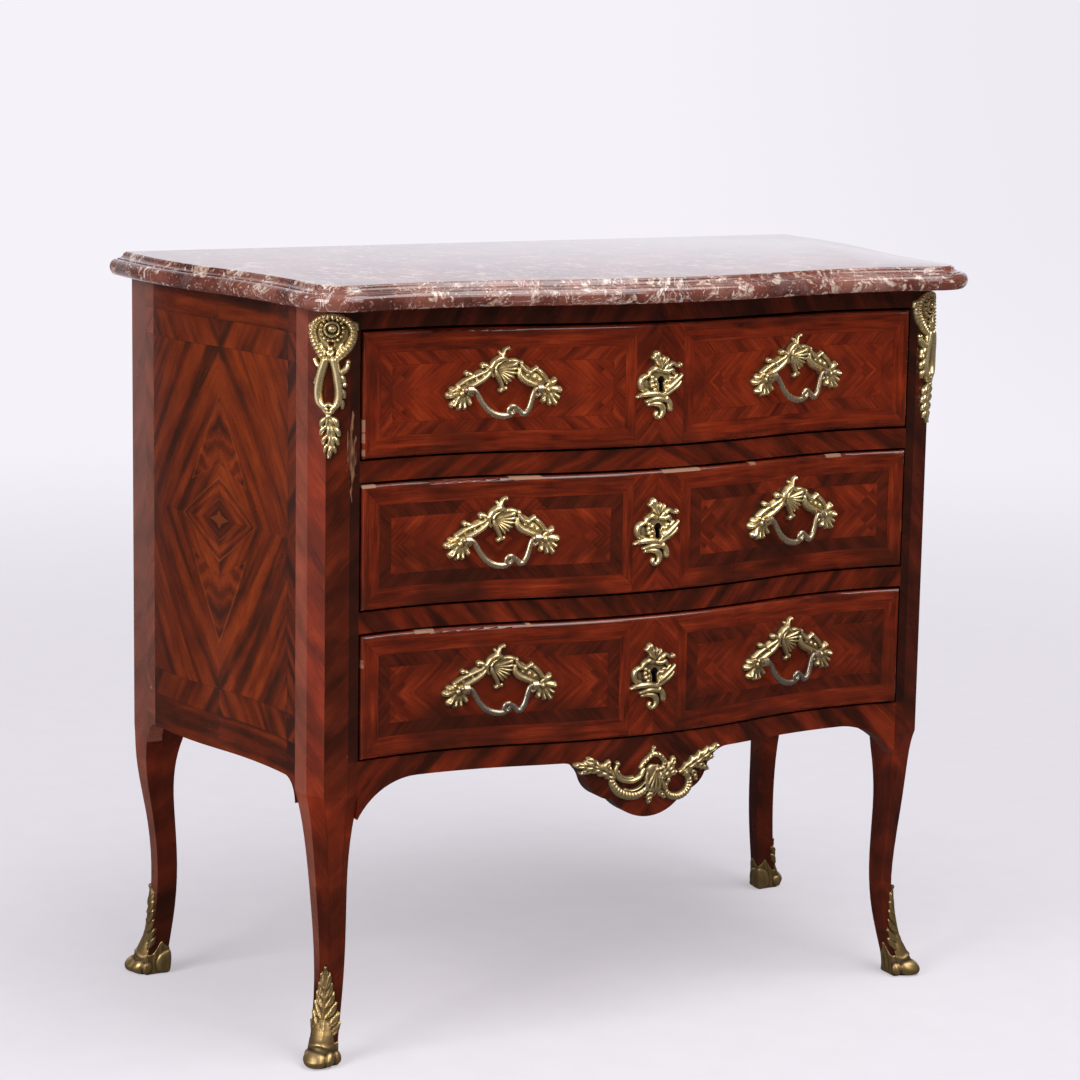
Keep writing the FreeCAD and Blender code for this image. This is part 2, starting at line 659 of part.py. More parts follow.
# Runners with guides, kickers, dust panels and bottom board
def inner_frame():
    outer_x = f"({GUIDE_X} + guide_width)"
    panels = ("dust_panel_upper", "dust_panel_lower", "bottom_board")
    for number, (name, panel) in enumerate(zip(DRAWER_NAMES, panels)):
        top = f"({drawer_low(number)} - run_gap)"
        low = f"({top} - runner_height)"
        runner = prism(f"{name}_runner", "XZ_Plane", [
            (RUN_FRONT_X, low), (outer_x, low), (outer_x, f"({top} + guide_rise)"),
            (GUIDE_X, f"({top} + guide_rise)"), (GUIDE_X, top), (RUN_FRONT_X, top),
        ], f"-{BACK_FACE_Y}", f"{BACK_FACE_Y} - {POST_BACK_Y}")
        keep(f"runners_{name}", group(f"{name}_runners", [runner, mirror(f"{name}_runner_left", runner)]))
        keep(panel, box(panel, (f"-{RUN_FRONT_X}", POST_BACK_Y, f"{low} + dust_rise"),
                        (RUN_FRONT_X, BACK_FACE_Y, f"{low} + dust_rise + dust_thickness")))
    kicker_low = f"({CARCASS_TOP} - rail_height)"
    kicker = box("kicker", (RUN_FRONT_X, POST_BACK_Y, kicker_low),
                 (outer_x, BACK_FACE_Y, f"{kicker_low} + kicker_height"))
    keep("kickers", group("kicker_pair", [kicker, mirror("kicker_left", kicker)]))


# Handles in a local frame: X along the drawer front, Y into it, Z up, the bail's axis over the origin
def bail_pattern():
    half = size("bail_span / 2")
    drop = size("bail_drop")
    depth = size("-bail_stand_off")
    end = size("bail_span / 2 + bail_pin_length")
    corners = [Vector(-end, depth, 0)]
    corners += [Vector(across * half, depth, down * drop) for across, down, radius in BAIL_PATH_SHARES]
    corners.append(Vector(end, depth, 0))
    edges = []
    here = corners[0]
    for number, (across, down, radius) in enumerate(BAIL_PATH_SHARES, 1):
        corner = corners[number]
        back = (corners[number - 1] - corner).normalize()
        ahead = (corners[number + 1] - corner).normalize()
        half_angle = back.getAngle(ahead) / 2
        reach = radius * drop / math.tan(half_angle)
        bisector = (back + ahead).normalize()
        middle = corner + bisector * (radius * drop / math.sin(half_angle) - radius * drop)
        edges.append(Part.LineSegment(here, corner + back * reach).toShape())
        edges.append(Part.Arc(corner + back * reach, middle, corner + ahead * reach).toShape())
        here = corner + ahead * reach
    edges.append(Part.LineSegment(here, corners[-1]).toShape())
    path = doc.addObject("Part::Feature", "bail_path")
    path.Shape = Part.Wire(edges)
    ring = doc.addObject("Part::Circle", "bail_ring")
    ring.setExpression("Radius", bound("bail_wire_radius"))
    ring.Placement = FreeCAD.Placement(corners[0], FreeCAD.Rotation(Vector(0, 1, 0), 90))
    sweep = doc.addObject("Part::Sweep", "bail_pattern")
    sweep.Sections = [ring]
    sweep.Spine = (path, [f"Edge{number}" for number in range(1, len(edges) + 1)])
    sweep.Solid = True
    return sweep


def crosswise(name, radius, half_width):
    """A cylinder along X on the bail's axis."""
    cylinder = doc.addObject("Part::Cylinder", name)
    cylinder.setExpression("Radius", bound(radius))
    cylinder.setExpression("Height", bound(f"2 * ({half_width})"))
    cylinder.Placement = FreeCAD.Placement(Vector(0, 0, 0), FreeCAD.Rotation(Vector(0, 1, 0), 90))
    cylinder.setExpression("Placement.Base.x", bound(f"-({half_width})"))
    cylinder.setExpression("Placement.Base.y", bound("-bail_stand_off"))
    return cylinder


def handle_post_pattern():
    """An eyed post: the shank runs through the drawer front to a nut in a recess behind it."""
    seat = "(drawer_thickness - nut_inset)"
    shank = rod("post_shank", "shank_radius", "-bail_stand_off", f"{seat} + nut_height")
    nut = doc.addObject("Part::Prism", "post_nut")
    nut.Polygon = NUT_SIDES
    nut.setExpression("Circumradius", bound("nut_radius"))
    nut.setExpression("Height", bound("nut_height"))
    nut.Placement = FreeCAD.Placement(Vector(0, 0, 0), FreeCAD.Rotation(Vector(-1, 0, 0), 90))
    nut.setExpression("Placement.Base.y", bound(seat))
    solid = fuse("post_solid", [shank, crosswise("post_eye", "eye_radius", "eye_width / 2"), nut])
    doc.recompute()
    return cut("post_pattern", solid, [crosswise("eye_hole", "bail_wire_radius + eye_gap", "overrun")])


def handle_hole_pattern():
    hole = rod("shank_hole", "shank_radius + shank_gap", "-overrun", "2 * overrun")
    recess = rod("nut_recess", "nut_recess_radius", "drawer_thickness - nut_inset", "2 * overrun")
    return fuse("hole_pattern", [hole, recess])


def keyhole_pattern():
    stem = box("keyhole_stem", ("-keyhole_slot_width / 2", "-overrun", "-keyhole_slot_length"),
               ("keyhole_slot_width / 2", "drawer_thickness - lock_inset + lock_depth / 2", "0"))
    bow = rod("keyhole_bow", "keyhole_radius", "-overrun", "drawer_thickness - lock_inset + lock_depth / 2")
    return fuse("keyhole_pattern", [bow, stem])


# Drawers: a curved front dovetailed to straight sides, with a grooved bottom and a back
def drawer_front(name, low):
    half = "drawer_half_width"
    inner = "drawer_proud - drawer_thickness"
    body = board(f"{name}_front_blank", front_run(half, "drawer_proud") + backwards(front_run(half, inner)),
                 low, f"{low} + drawer_height")
    doc.recompute()
    outer_radii = (size(f"{FLANK_RADIUS} - drawer_proud"), size(f"{CENTRE_RADIUS} + drawer_proud"))
    faces = [face for face in body.Shape.Faces if isinstance(face.Surface, Part.Cylinder)
             and min(abs(face.Surface.Radius - radius) for radius in outer_radii) < TOUCH]
    lips = []
    for number, edge in enumerate(body.Shape.Edges, 1):
        beside = sum(edge.isSame(other) for face in faces for other in face.Edges)
        if beside == 1:
            lips.append(f"Edge{number}")
    rounded(body, f"{name}_lip", lips, "drawer_lip_radius")
    return body


def tails(shoulder, tip, low):
    """Dovetails up one end of a drawer side, as depths and heights from the lower corner up."""
    step = f"(drawer_side_height / {TAIL_COUNT})"
    root = f"({TAIL_WIDTH_SHARE} * {step} / 2)"
    run = [(shoulder, low)]
    for number in range(TAIL_COUNT):
        middle = f"({low} + {number + 0.5} * {step})"
        run += [
            (shoulder, f"({middle} - {root})"), (tip, f"({middle} - {root} - tail_flare)"),
            (tip, f"({middle} + {root} + tail_flare)"), (shoulder, f"({middle} + {root})"),
        ]
    run.append((shoulder, f"({low} + drawer_side_height)"))
    return run


def drawer(number, name, patterns):
    low = drawer_low(number)
    high = f"({low} + drawer_height)"
    inner = "(drawer_proud - drawer_thickness)"
    side_outer = "(drawer_half_width - drawer_side_inset)"
    side_inner = f"({side_outer} - drawer_side_thickness)"
    front_blank = drawer_front(name, low)

    shoulder = flank_y("drawer_half_width", inner)
    back_y = f"({DRAWER_BACK_Y} - drawer_back_thickness)"
    side_outline = tails(shoulder, f"({shoulder} - tail_length)", low)
    side_outline += backwards(tails(back_y, DRAWER_BACK_Y, low))
    side_right = prism(f"{name}_side", "YZ_Plane", side_outline, side_inner, "drawer_side_thickness")
    side_blanks = group(f"{name}_side_blanks", [side_right, mirror(f"{name}_side_left", side_right)])

    bottom_half = f"({side_inner} + groove_depth)"
    bottom_low = f"({low} + drawer_bottom_rise)"
    bottom_top = f"({bottom_low} + drawer_bottom_thickness)"
    bottom_outline = front_run(bottom_half, f"({inner} + groove_depth)")
    bottom_outline += [(bottom_half, DRAWER_BACK_Y), (f"-{bottom_half}", DRAWER_BACK_Y)]
    bottom = board(f"{name}_bottom", bottom_outline, bottom_low, bottom_top)
    back_blank = box(f"{name}_back_blank", (f"-{side_outer}", back_y, bottom_top),
                     (side_outer, DRAWER_BACK_Y, f"{low} + drawer_side_height"))

    bolt_top = f"({high} - bolt_sink)"
    lock_back = f"({LOCK_FRONT_Y} + lock_depth)"
    case_blank = box(f"{name}_case", ("-lock_width / 2", LOCK_FRONT_Y, f"{high} - lock_height"),
                     ("lock_width / 2", lock_back, high))
    bolt = box(f"{name}_bolt", ("-bolt_width / 2", BOLT_FRONT_Y, f"{bolt_top} - bolt_length"),
               ("bolt_width / 2", f"{BOLT_FRONT_Y} + bolt_thickness", bolt_top))
    channel = box(f"{name}_channel",
                  ("-bolt_width / 2 - bolt_gap", f"{BOLT_FRONT_Y} - bolt_gap",
                   f"{bolt_top} - bolt_length - bolt_gap"),
                  ("bolt_width / 2 + bolt_gap", f"{BOLT_FRONT_Y} + bolt_thickness + bolt_gap",
                   f"{high} + overrun"))
    face_y = "(-front_reach - drawer_proud)"
    keyhole = placed(f"{name}_keyhole", [patterns["keyhole"]], ("0", face_y, f"{low} + keyhole_rise"), "0")

    lean = f"asin((flank_reach - handle_reach) / ({FLANK_RADIUS} - drawer_proud))"
    handle_y = flank_y("handle_reach", "drawer_proud")
    handle_z = f"{low} + handle_rise"
    plates, posts, holes = [], [], []
    for side, sign in (("left", "-"), ("right", "")):
        frame = ((f"{sign}handle_reach", handle_y, handle_z), f"{sign}{lean}")
        pair = []
        for pattern in ("post", "hole"):
            spread = []
            for end in ("-", ""):
                spread.append(placed(f"{name}_{pattern}_end", [patterns[pattern]],
                                     (f"{end}bail_span / 2", "0", "0"), "0"))
            pair.append(placed(f"{name}_{pattern}_pair", spread, *frame))
        posts.append(pair[0])
        holes.append(pair[1])
        blank = placed(f"{name}_plate_blank", [patterns["plate"]], *frame)
        plates.append(common(f"{name}_plate_{side}", blank, patterns["drawer_band"]))
        keep(f"{name}_bail_{side}", placed(f"{name}_bail_{side}", [patterns["bail"]], *frame))
    escutcheon_blank = placed(f"{name}_escutcheon_blank", [patterns["escutcheon"]],
                              ("0", face_y, f"{low} + escutcheon_rise"), "0")
    escutcheon = common(f"{name}_escutcheon_plate", escutcheon_blank, patterns["drawer_band"])
    doc.recompute()

    keep(f"{name}_drawer_front",
         cut(f"{name}_front", front_blank, [side_blanks, bottom, case_blank, keyhole] + holes))
    keep(f"{name}_drawer_sides", cut(f"{name}_sides", side_blanks, [bottom]))
    keep(f"{name}_drawer_back", cut(f"{name}_back", back_blank, [side_blanks]))
    keep(f"{name}_drawer_bottom", bottom)
    keep(f"{name}_lock_case", cut(f"{name}_lock", case_blank, [channel, keyhole]))
    keep(f"{name}_lock_bolt", bolt)
    keep(f"{name}_escutcheon", cut(f"{name}_escutcheon", escutcheon, [keyhole]))
    keep(f"{name}_handle_plates", cut(f"{name}_plates", group(f"{name}_plate_pair", plates), holes))
    keep(f"{name}_handle_posts", group(f"{name}_posts", posts))


def drawers():
    band_half = f"({POST_INNER} - overrun)"
    patterns = {
        "bail": bail_pattern(),
        "post": handle_post_pattern(),
        "hole": handle_hole_pattern(),
        "keyhole": keyhole_pattern(),
        "plate": ornament("plate_pattern", PLATE_OUTLINE_SHARES, "plate_width", "plate_height",
                          "-plate_drop", "overrun"),
        "escutcheon": ornament("escutcheon_pattern", ESCUTCHEON_OUTLINE_SHARES, "escutcheon_width",
                               "escutcheon_height", "-escutcheon_height / 2", "overrun"),
        "drawer_band": board("drawer_band", front_run(band_half, "drawer_proud + mount_relief")
                             + backwards(front_run(band_half, "drawer_proud")), APRON_TOP, CARCASS_TOP),
    }
    doc.recompute()
    for number, name in enumerate(DRAWER_NAMES):
        drawer(number, name, patterns)


# Corner and apron mounts, cast to the curve of what carries them
def fixed_mounts():
    post_piece = parts["post_front_right"]
    grown = section(FRONT_POST, FRONT_CENTRE, FRONT_SPLAY,
                    f"1 + mount_relief / ({FRONT_CENTRE[0]} - {POST_INNER})", "0")
    low = f"({CARCASS_TOP} - corner_mount_top_gap - corner_mount_height)"
    shell = board("corner_shell", grown, low, CARCASS_TOP)
    pattern = ornament("corner_pattern", CORNER_OUTLINE_SHARES, "corner_mount_width", "corner_mount_height",
                       "0", "overrun")
    blank = placed("corner_blank", [pattern], (RIDGE_X, RIDGE_Y, low), FRONT_SPLAY)
    casting = common("corner_casting", blank, shell)
    doc.recompute()
    mount = cut("corner_mount", casting, [post_piece])
    keep("corner_mount_right", mount)
    keep("corner_mount_left", mirror("corner_mount_reflection", mount))

    apron_low = f"({APRON_TOP} - apron_drop + apron_mount_lift)"
    band = board("apron_band", front_run("apron_mount_width", "mount_relief")
                 + backwards(front_run("apron_mount_width", "0")), apron_low, APRON_TOP)
    pattern = ornament("apron_pattern", APRON_OUTLINE_SHARES, "apron_mount_width", "apron_mount_height",
                       "0", "front_bulge + overrun")
    blank = placed("apron_blank", [pattern], ("0", "-front_reach", apron_low), "0")
    keep("apron_mount", common("apron_casting", blank, band))


marble_top()
posts_and_sabots()
side_panels()
front_rails()
apron_rail()
back_frame()
inner_frame()
drawers()
fixed_mounts()
doc.recompute()

for piece in doc.Objects:
    bad = {"Invalid", "Error"} & set(piece.State)
    assert not bad, f"{piece.Label}: {piece.State}"
for node, piece in parts.items():
    assert not piece.Shape.isNull() and piece.Shape.isValid() and piece.Shape.Solids, node

os.makedirs("parts", exist_ok=True)
for node, piece in parts.items():
    piece.Shape.exportStep(os.path.join("parts", node + ".step"))
whole = FreeCAD.BoundBox()
for piece in parts.values():
    whole.add(piece.Shape.BoundBox)
print(len(parts), "pieces,", round(whole.XLength, 1), "x", round(whole.YLength, 1), "x", round(whole.ZLength, 1))
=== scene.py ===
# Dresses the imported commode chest: quartered veneer, red marble and cast bronze mounts.
import math
from contextlib import contextmanager
from functools import partialmethod

import bpy
import numpy as np
from mathutils import Matrix, Vector
from mathutils.bvhtree import BVHTree


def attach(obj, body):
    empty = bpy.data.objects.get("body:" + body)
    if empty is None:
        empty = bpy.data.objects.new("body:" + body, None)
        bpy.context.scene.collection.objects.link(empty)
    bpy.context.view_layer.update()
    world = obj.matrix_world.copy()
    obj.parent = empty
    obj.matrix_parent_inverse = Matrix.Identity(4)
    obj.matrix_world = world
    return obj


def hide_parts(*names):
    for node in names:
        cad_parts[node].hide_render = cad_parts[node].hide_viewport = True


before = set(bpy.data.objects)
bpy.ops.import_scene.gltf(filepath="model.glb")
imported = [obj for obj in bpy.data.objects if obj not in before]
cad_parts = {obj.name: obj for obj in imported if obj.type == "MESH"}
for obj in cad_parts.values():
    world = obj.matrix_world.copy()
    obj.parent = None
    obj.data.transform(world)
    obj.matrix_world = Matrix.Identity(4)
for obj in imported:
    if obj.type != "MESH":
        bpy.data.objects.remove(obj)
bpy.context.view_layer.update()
scene = bpy.context.scene
MM = 0.001

# Levels and curves of the carcass, in millimetres
DRAWER_LOWS = {"upper": 664.5, "middle": 502.5, "lower": 340.5}
DRAWER_MIDDLE = 67.0
DRAWER_PROUD = 5.0
HANDLE_REACH = 183.0
HANDLE_RISE = 69.0
PLATE_OFFSETS = {-1: 5.4, 1: 8.8}
KEYHOLE_RISE = 69.0
BAIL_STAND_OFF = 15.0
BULGE_CENTRE = 447.0
BULGE_RADIUS = 650.0
BULGE_END = 150.0
FLANK_CENTRE = (265.0, -670.3)
FLANK_RADIUS = 498.3
MARBLE_FOOT = 824.0
MARBLE_UNDERCUT = 6.0
MARBLE_BACK = 246.0
MARBLE_SPARE = 40.0
CORNER_MOUNT_TOP = 815.0
APRON_LOW = 246.0
ANKLE = 18.0
POST_FRONT = -178.6
POST_RIDGE = (381.0, -169.6)
BACK_RIDGE = (441.0, 236.0)
POST_STRIP = 357.0
LEG_TOP = 338.0
SIDES = {"left": -1, "right": 1}

# How the veneer is set out, in millimetres
PANEL_HALF_LENGTH = 153.0
PANEL_HALF_HEIGHT = 57.5
BAND_START = 13.0
FIELD_START = 27.0
LOCK_STRIP = 30.0
DRAWER_END = 341.5
SIDE_MIDDLE = (32.0, 572.0)
SIDE_HALF_DEPTH = 156.0
SIDE_HALF_HEIGHT = 191.0
SIDE_BAND = 18.0
SIDE_CAP = 30.0

# Share of dark wood in each drawer's band, and painted shade over the whole front, deeper on the lower drawers
DRAWER_TONES = {"upper": (0.18, 0.0), "middle": (0.9, 0.31), "lower": (0.8, 0.28)}
# Each rail's material, the lean and tilt of its stripes, its darkness and its own figure
RAIL_VENEERS = {
    "top_rail": ("top_rail_veneer", 0.86, 0.5, 1.0, 1.0),
    "divider_rail_upper": ("upper_divider_veneer", 0.5, 0.86, 0.62, 4.0),
    "divider_rail_lower": ("lower_divider_veneer", 0.76, -0.65, 0.62, 7.0),
    "apron_rail": ("apron_veneer", 0.7, 0.71, 0.64, 9.0),
}


# Shader sums

def set_stops(ramp, stops):
    ramp.elements[0].position, ramp.elements[1].position = stops[0][0], stops[-1][0]
    for place, tone in stops[1:-1]:
        ramp.elements.new(place)
    for element, (place, tone) in zip(ramp.elements, stops):
        element.color = colour(*tone)


def add_node(tree, kind, sockets, out=0, **settings):
    """Adds a node with its settings, then gives its sockets constants or other nodes' values."""
    node = tree.nodes.new("ShaderNode" + kind)
    for name, value in settings.items():
        if name == "stops":
            set_stops(node.color_ramp, value)
        else:
            setattr(node, name, value)
    for name, value in sockets.items():
        if isinstance(value, Value):
            tree.links.new(value.socket, node.inputs[name])
        else:
            node.inputs[name].default_value = value
    return Value(tree, node.outputs[out])


class Value:
    """A shader value, whose arithmetic and other changes add nodes to its tree."""

    def __init__(self, tree, socket):
        self.tree = tree
        self.socket = socket

    def sum(self, operation, *others):
        return add_node(self.tree, "Math", dict(enumerate((self, *others))), operation=operation)

    __add__ = __radd__ = partialmethod(sum, "ADD")
    __mul__ = __rmul__ = partialmethod(sum, "MULTIPLY")
    __sub__ = partialmethod(sum, "SUBTRACT")
    __rsub__ = partialmethod(sum, "MULTIPLY_ADD", -1.0)
    __truediv__ = partialmethod(sum, "DIVIDE")
    __abs__ = partialmethod(sum, "ABSOLUTE")
    least = partialmethod(sum, "MINIMUM")
    most = partialmethod(sum, "MAXIMUM")
    under = partialmethod(sum, "LESS_THAN")
    over = partialmethod(sum, "GREATER_THAN")

    def step(self, low, high):
        sockets = {"Value": self, "From Min": low, "From Max": high}
        return add_node(self.tree, "MapRange", sockets, interpolation_type="SMOOTHSTEP")

    def seam(self, wide=0.5, full=0.2):
        """A thin line where the value is nought."""
        return abs(self).step(wide, full)

    def ramp(self, stops):
        return add_node(self.tree, "ValToRGB", {"Fac": self}, "Color", stops=stops)

    def mix(self, share, above):
        sockets = {0: share, 6: self, 7: above}
        return add_node(self.tree, "Mix", sockets, 2, data_type="RGBA", clamp_factor=True)

    def tint(self, share, *tone):
        return self.mix(share, colour(*tone))

    def split(self):
        return [add_node(self.tree, "SeparateXYZ", {"Vector": self}, axis) for axis in "XYZ"]


class Nodes:
    """A node tree, and short ways to start what the finishes need."""

    def __init__(self, tree):
        self.tree = tree

    def node(self, kind, sockets, out=0, **settings):
        return add_node(self.tree, kind, sockets, out, **settings)

    def spot(self):
        """Where on the piece, in its own millimetres."""
        own = self.node("TexCoord", {}, "Object")
        return self.node("Mapping", {"Vector": own, "Scale": (1000, 1000, 1000)})

    def facing(self, axis):
        return self.node("TexCoord", {}, "Normal").split()["XYZ".index(axis)]

    def noise(self, spot, scale, detail=3.0, twist=0.0):
        sockets = {"Vector": spot, "Scale": scale, "Detail": detail, "Distortion": twist}
        return self.node("TexNoise", sockets, "Fac")

    def cloud(self, x, y, z, detail=3.0, twist=0.0):
        """Noise over three values, each already brought to the scale it needs."""
        return self.noise(self.node("CombineXYZ", {"X": x, "Y": y, "Z": z}), 1.0, detail, twist)

    def rays(self):
        """Which rays come straight from the camera, and which by a mirror or through glass."""
        camera, glossy, through = [self.node("LightPath", {}, f"Is {kind} Ray")
                                   for kind in ("Camera", "Glossy", "Transmission")]
        return camera, glossy.most(through)


def mirrored_room(across, ahead):
    """What mirrors see of the studio: bright behind the chest and at its left, dim in front."""
    return (ahead * 0.8 + across * 0.35).step(0.5, 0.82) * 0.86 + across.step(-0.8, -0.98) * 0.7


class Finish(Nodes):
    """A material under way: one Principled shader and the nodes that feed it."""

    def __init__(self, name, plain):
        self.material = bpy.data.materials.new(name)
        self.material.use_nodes = True
        super().__init__(self.material.node_tree)
        self.shader = self.tree.nodes["Principled BSDF"]
        for socket, value in plain.items():
            self.shader.inputs[socket].default_value = value

    def feed(self, socket, value):
        self.tree.links.new(value.socket, self.shader.inputs[socket])

    def bump(self, height, strength, distance):
        sockets = {"Height": height, "Strength": strength, "Distance": distance}
        self.feed("Normal", self.node("Bump", sockets))


def colour(red, green, blue):
    return (red, green, blue, 1.0)


# Veneer

TULIPWOOD = (
    (0.30, (0.022, 0.004, 0.002)), (0.41, (0.078, 0.008, 0.002)), (0.52, (0.158, 0.015, 0.003)),
    (0.62, (0.245, 0.027, 0.005)), (0.74, (0.380, 0.055, 0.011)),
)
KINGWOOD = (
    (0.30, (0.009, 0.003, 0.002)), (0.44, (0.028, 0.005, 0.002)),
    (0.57, (0.066, 0.009, 0.003)), (0.72, (0.140, 0.018, 0.004)),
)
SIDE_WOOD = (
    (0.32, (0.016, 0.005, 0.002)), (0.43, (0.046, 0.009, 0.003)), (0.53, (0.115, 0.015, 0.003)),
    (0.62, (0.195, 0.029, 0.004)), (0.74, (0.300, 0.055, 0.008)),
)
OAK_TONES = (
    (0.30, (0.20, 0.115, 0.055)), (0.50, (0.31, 0.195, 0.105)), (0.70, (0.42, 0.285, 0.165)),
)
BARE_WOOD = (0.31, 0.165, 0.105)
POLISH = {"Roughness": 0.3, "IOR": 1.5, "Coat Weight": 0.3, "Coat Roughness": 0.09,
          "Specular IOR Level": 0.22, "Specular Tint": colour(1.0, 0.75, 0.55)}


def figure(finish, across, along, seed, broad_scale=0.13):
    """Stripes that run with the grain: broad feathered bands, fine lines and short dark pores."""
    broad = finish.cloud(across * broad_scale, along * 0.014, seed, 5.0, 0.5)
    fine = finish.cloud(across * 1.1, along * 0.03, seed, 4.0)
    mottle = finish.cloud(across * 0.03, along * 0.025, seed * 1.3)
    pores = finish.cloud(across * 3.2, along * 0.16, seed, 2.0).step(0.62, 0.70)
    return broad * 0.46 + fine * 0.32 + mottle * 0.26 - 0.02, pores


def oak_behind(finish, tone, across, along, seed):
    """Leaves the face that is turned to the back in plain oak."""
    grain, pores = figure(finish, across, along, seed, 0.05)
    return tone.mix(finish.facing("Y").step(0.3, 0.6), grain.ramp(OAK_TONES))


def polish(finish, tone, pores, wear, gloss=0.0):
    """Colours the veneer, darkens its pores and leaves bare wood where the edge is worn."""
    tone = tone.tint(pores * 0.45, 0.016, 0.005, 0.003)
    finish.feed("Base Color", tone.tint(wear, *BARE_WOOD))
    haze = finish.noise(finish.spot(), 0.02, 4.0)
    finish.feed("Roughness", haze * 0.16 + 0.21 + wear * 0.35)
    finish.feed("Coat Weight", (1.0 - wear) * (gloss * 0.7 + 0.3))
    finish.bump(pores * -1.0 + wear * -2.0 + haze * 0.6, 0.12, 0.0004)
    return finish.material


def drawer_veneer(name, low, depth, shade):
    """Two framed panels of quartered tulipwood with a plain strip between them at the lock."""
    finish = Finish(name + "_drawer_veneer", POLISH)
    x, y, z = finish.spot().split()
    reach = abs(x)
    level = z - (low + DRAWER_MIDDLE)
    from_middle = abs(reach - HANDLE_REACH)
    rise = abs(level)
    inside_ends = PANEL_HALF_LENGTH - from_middle
    inside_edges = PANEL_HALF_HEIGHT - rise
    inside = inside_ends.least(inside_edges)
    upright = inside_ends.under(inside_edges)
    strip = reach.under(LOCK_STRIP)
    field = inside.over(FIELD_START)
    band = inside.over(BAND_START) - field
    plain = (1.0 - field - band) * (1.0 - strip)
    # the field is quartered about its middle, the dark band is laid the other way
    across = field * (from_middle * 0.67 + rise * 0.74) + band * (from_middle * 0.71 - rise * 0.71)
    along = field * (from_middle * 0.74 - rise * 0.67) + band * (from_middle * 0.71 + rise * 0.71)
    across = across + plain * (upright * x + (1.0 - upright) * level)
    along = along + plain * (upright * level + (1.0 - upright) * x)
    across = across + strip * (reach * 0.75 + level * 0.66)
    along = along + strip * (reach * 0.66 - level * 0.75)
    seed = band * 3.7 + plain * 7.1 + upright * 2.3 + strip * 11.0 + low * 0.13 + x.over(0.0) * 0.35
    stripes, pores = figure(finish, across, along, seed)
    # over the handle the dark band gives way to pale chevrons
    pale_span = (from_middle + (rise - 32.0)).step(52.0, 50.0) * level.over(0.0)
    dimmed = band * (1.0 - pale_span) * depth + strip * 0.2 + inside.under(0.0) * (1.0 - strip) * 0.35
    # shade is painted shade: it pushes the lower drawers' fronts towards the dark wood all over
    tone = stripes.ramp(TULIPWOOD).mix(dimmed.most(shade), stripes.ramp(KINGWOOD))
    seam = (inside - BAND_START).seam().most((inside - FIELD_START).seam())
    seam = seam.most((inside_ends - inside_edges).seam() * plain)
    seam = seam.most((reach - LOCK_STRIP).seam(0.6, 0.3)) * (1.0 - strip)
    tone = tone.tint(seam * 0.35, 0.015, 0.004, 0.002)
    # dark clouds over the front, more towards each drawer's bottom, and stronger on the lower drawers with
    # their painted shade
    dark_clouds = finish.cloud(x * 0.011, low * 0.3, level * 0.019, 4.0) - level * 0.0012
    dark_clouds = dark_clouds.step(0.47, 0.72) * (0.42 + shade * 0.8)
    tone = tone.tint(dark_clouds, 0.020, 0.006, 0.003)
    # veneer is lost along the top edge of the lower two drawers, and here and there at the ends
    patches = finish.cloud(x * 0.021, low * 0.37, level * 0.004, 2.0)
    wear = patches.step(0.60, 0.615) * level.over(64.0) * (depth > 0.6)
    ends = finish.cloud(level * 0.05, low * 0.2, x * 0.004)
    wear = wear.most(ends.step(0.58, 0.60) * reach.over(DRAWER_END) * 0.6)
    tone = oak_behind(finish, tone, z, x, 3.0)
    # painted shadow: the keyhole is painted near black on the veneer, as the dark inside of the hole
    drop = z - (low + KEYHOLE_RISE)
    keyhole_shadow = (x * x + (drop - 3.0) * (drop - 3.0)).under(27.0)
    keyhole_shadow = keyhole_shadow.most(reach.under(3.6) * abs(drop + 4.0).under(7.0))
    tone = tone.tint(keyhole_shadow * 0.97, 0.004, 0.003, 0.002)
    return polish(finish, tone, pores, wear, level.step(61.5, 63.5))


def rail_veneer(name, lean, tilt, depth, seed):
    """Cross-laid veneer whose stripes lean away from the middle of the rail."""
    finish = Finish(name, POLISH)
    x, y, z = finish.spot().split()
    reach = abs(x)
    across = reach * lean + z * tilt
    along = reach * tilt - z * lean
    stripes, pores = figure(finish, across, along, x.over(0.0) * 1.7 + seed, 0.075)
    boards = finish.cloud(across * 0.045, along * 0.004, seed + 2.0, 2.0).step(0.40, 0.60)
    tone = stripes.ramp(TULIPWOOD).mix(boards * 0.7 + (depth - 0.3), stripes.ramp(KINGWOOD))
    patch = finish.cloud(x * 0.03, z * 0.05, seed * 3.1, 2.0)
    wear = patch.step(0.70, 0.71) * finish.facing("Z").over(0.3)
    return polish(finish, oak_behind(finish, tone, z, x, seed + 3.0), pores, wear)


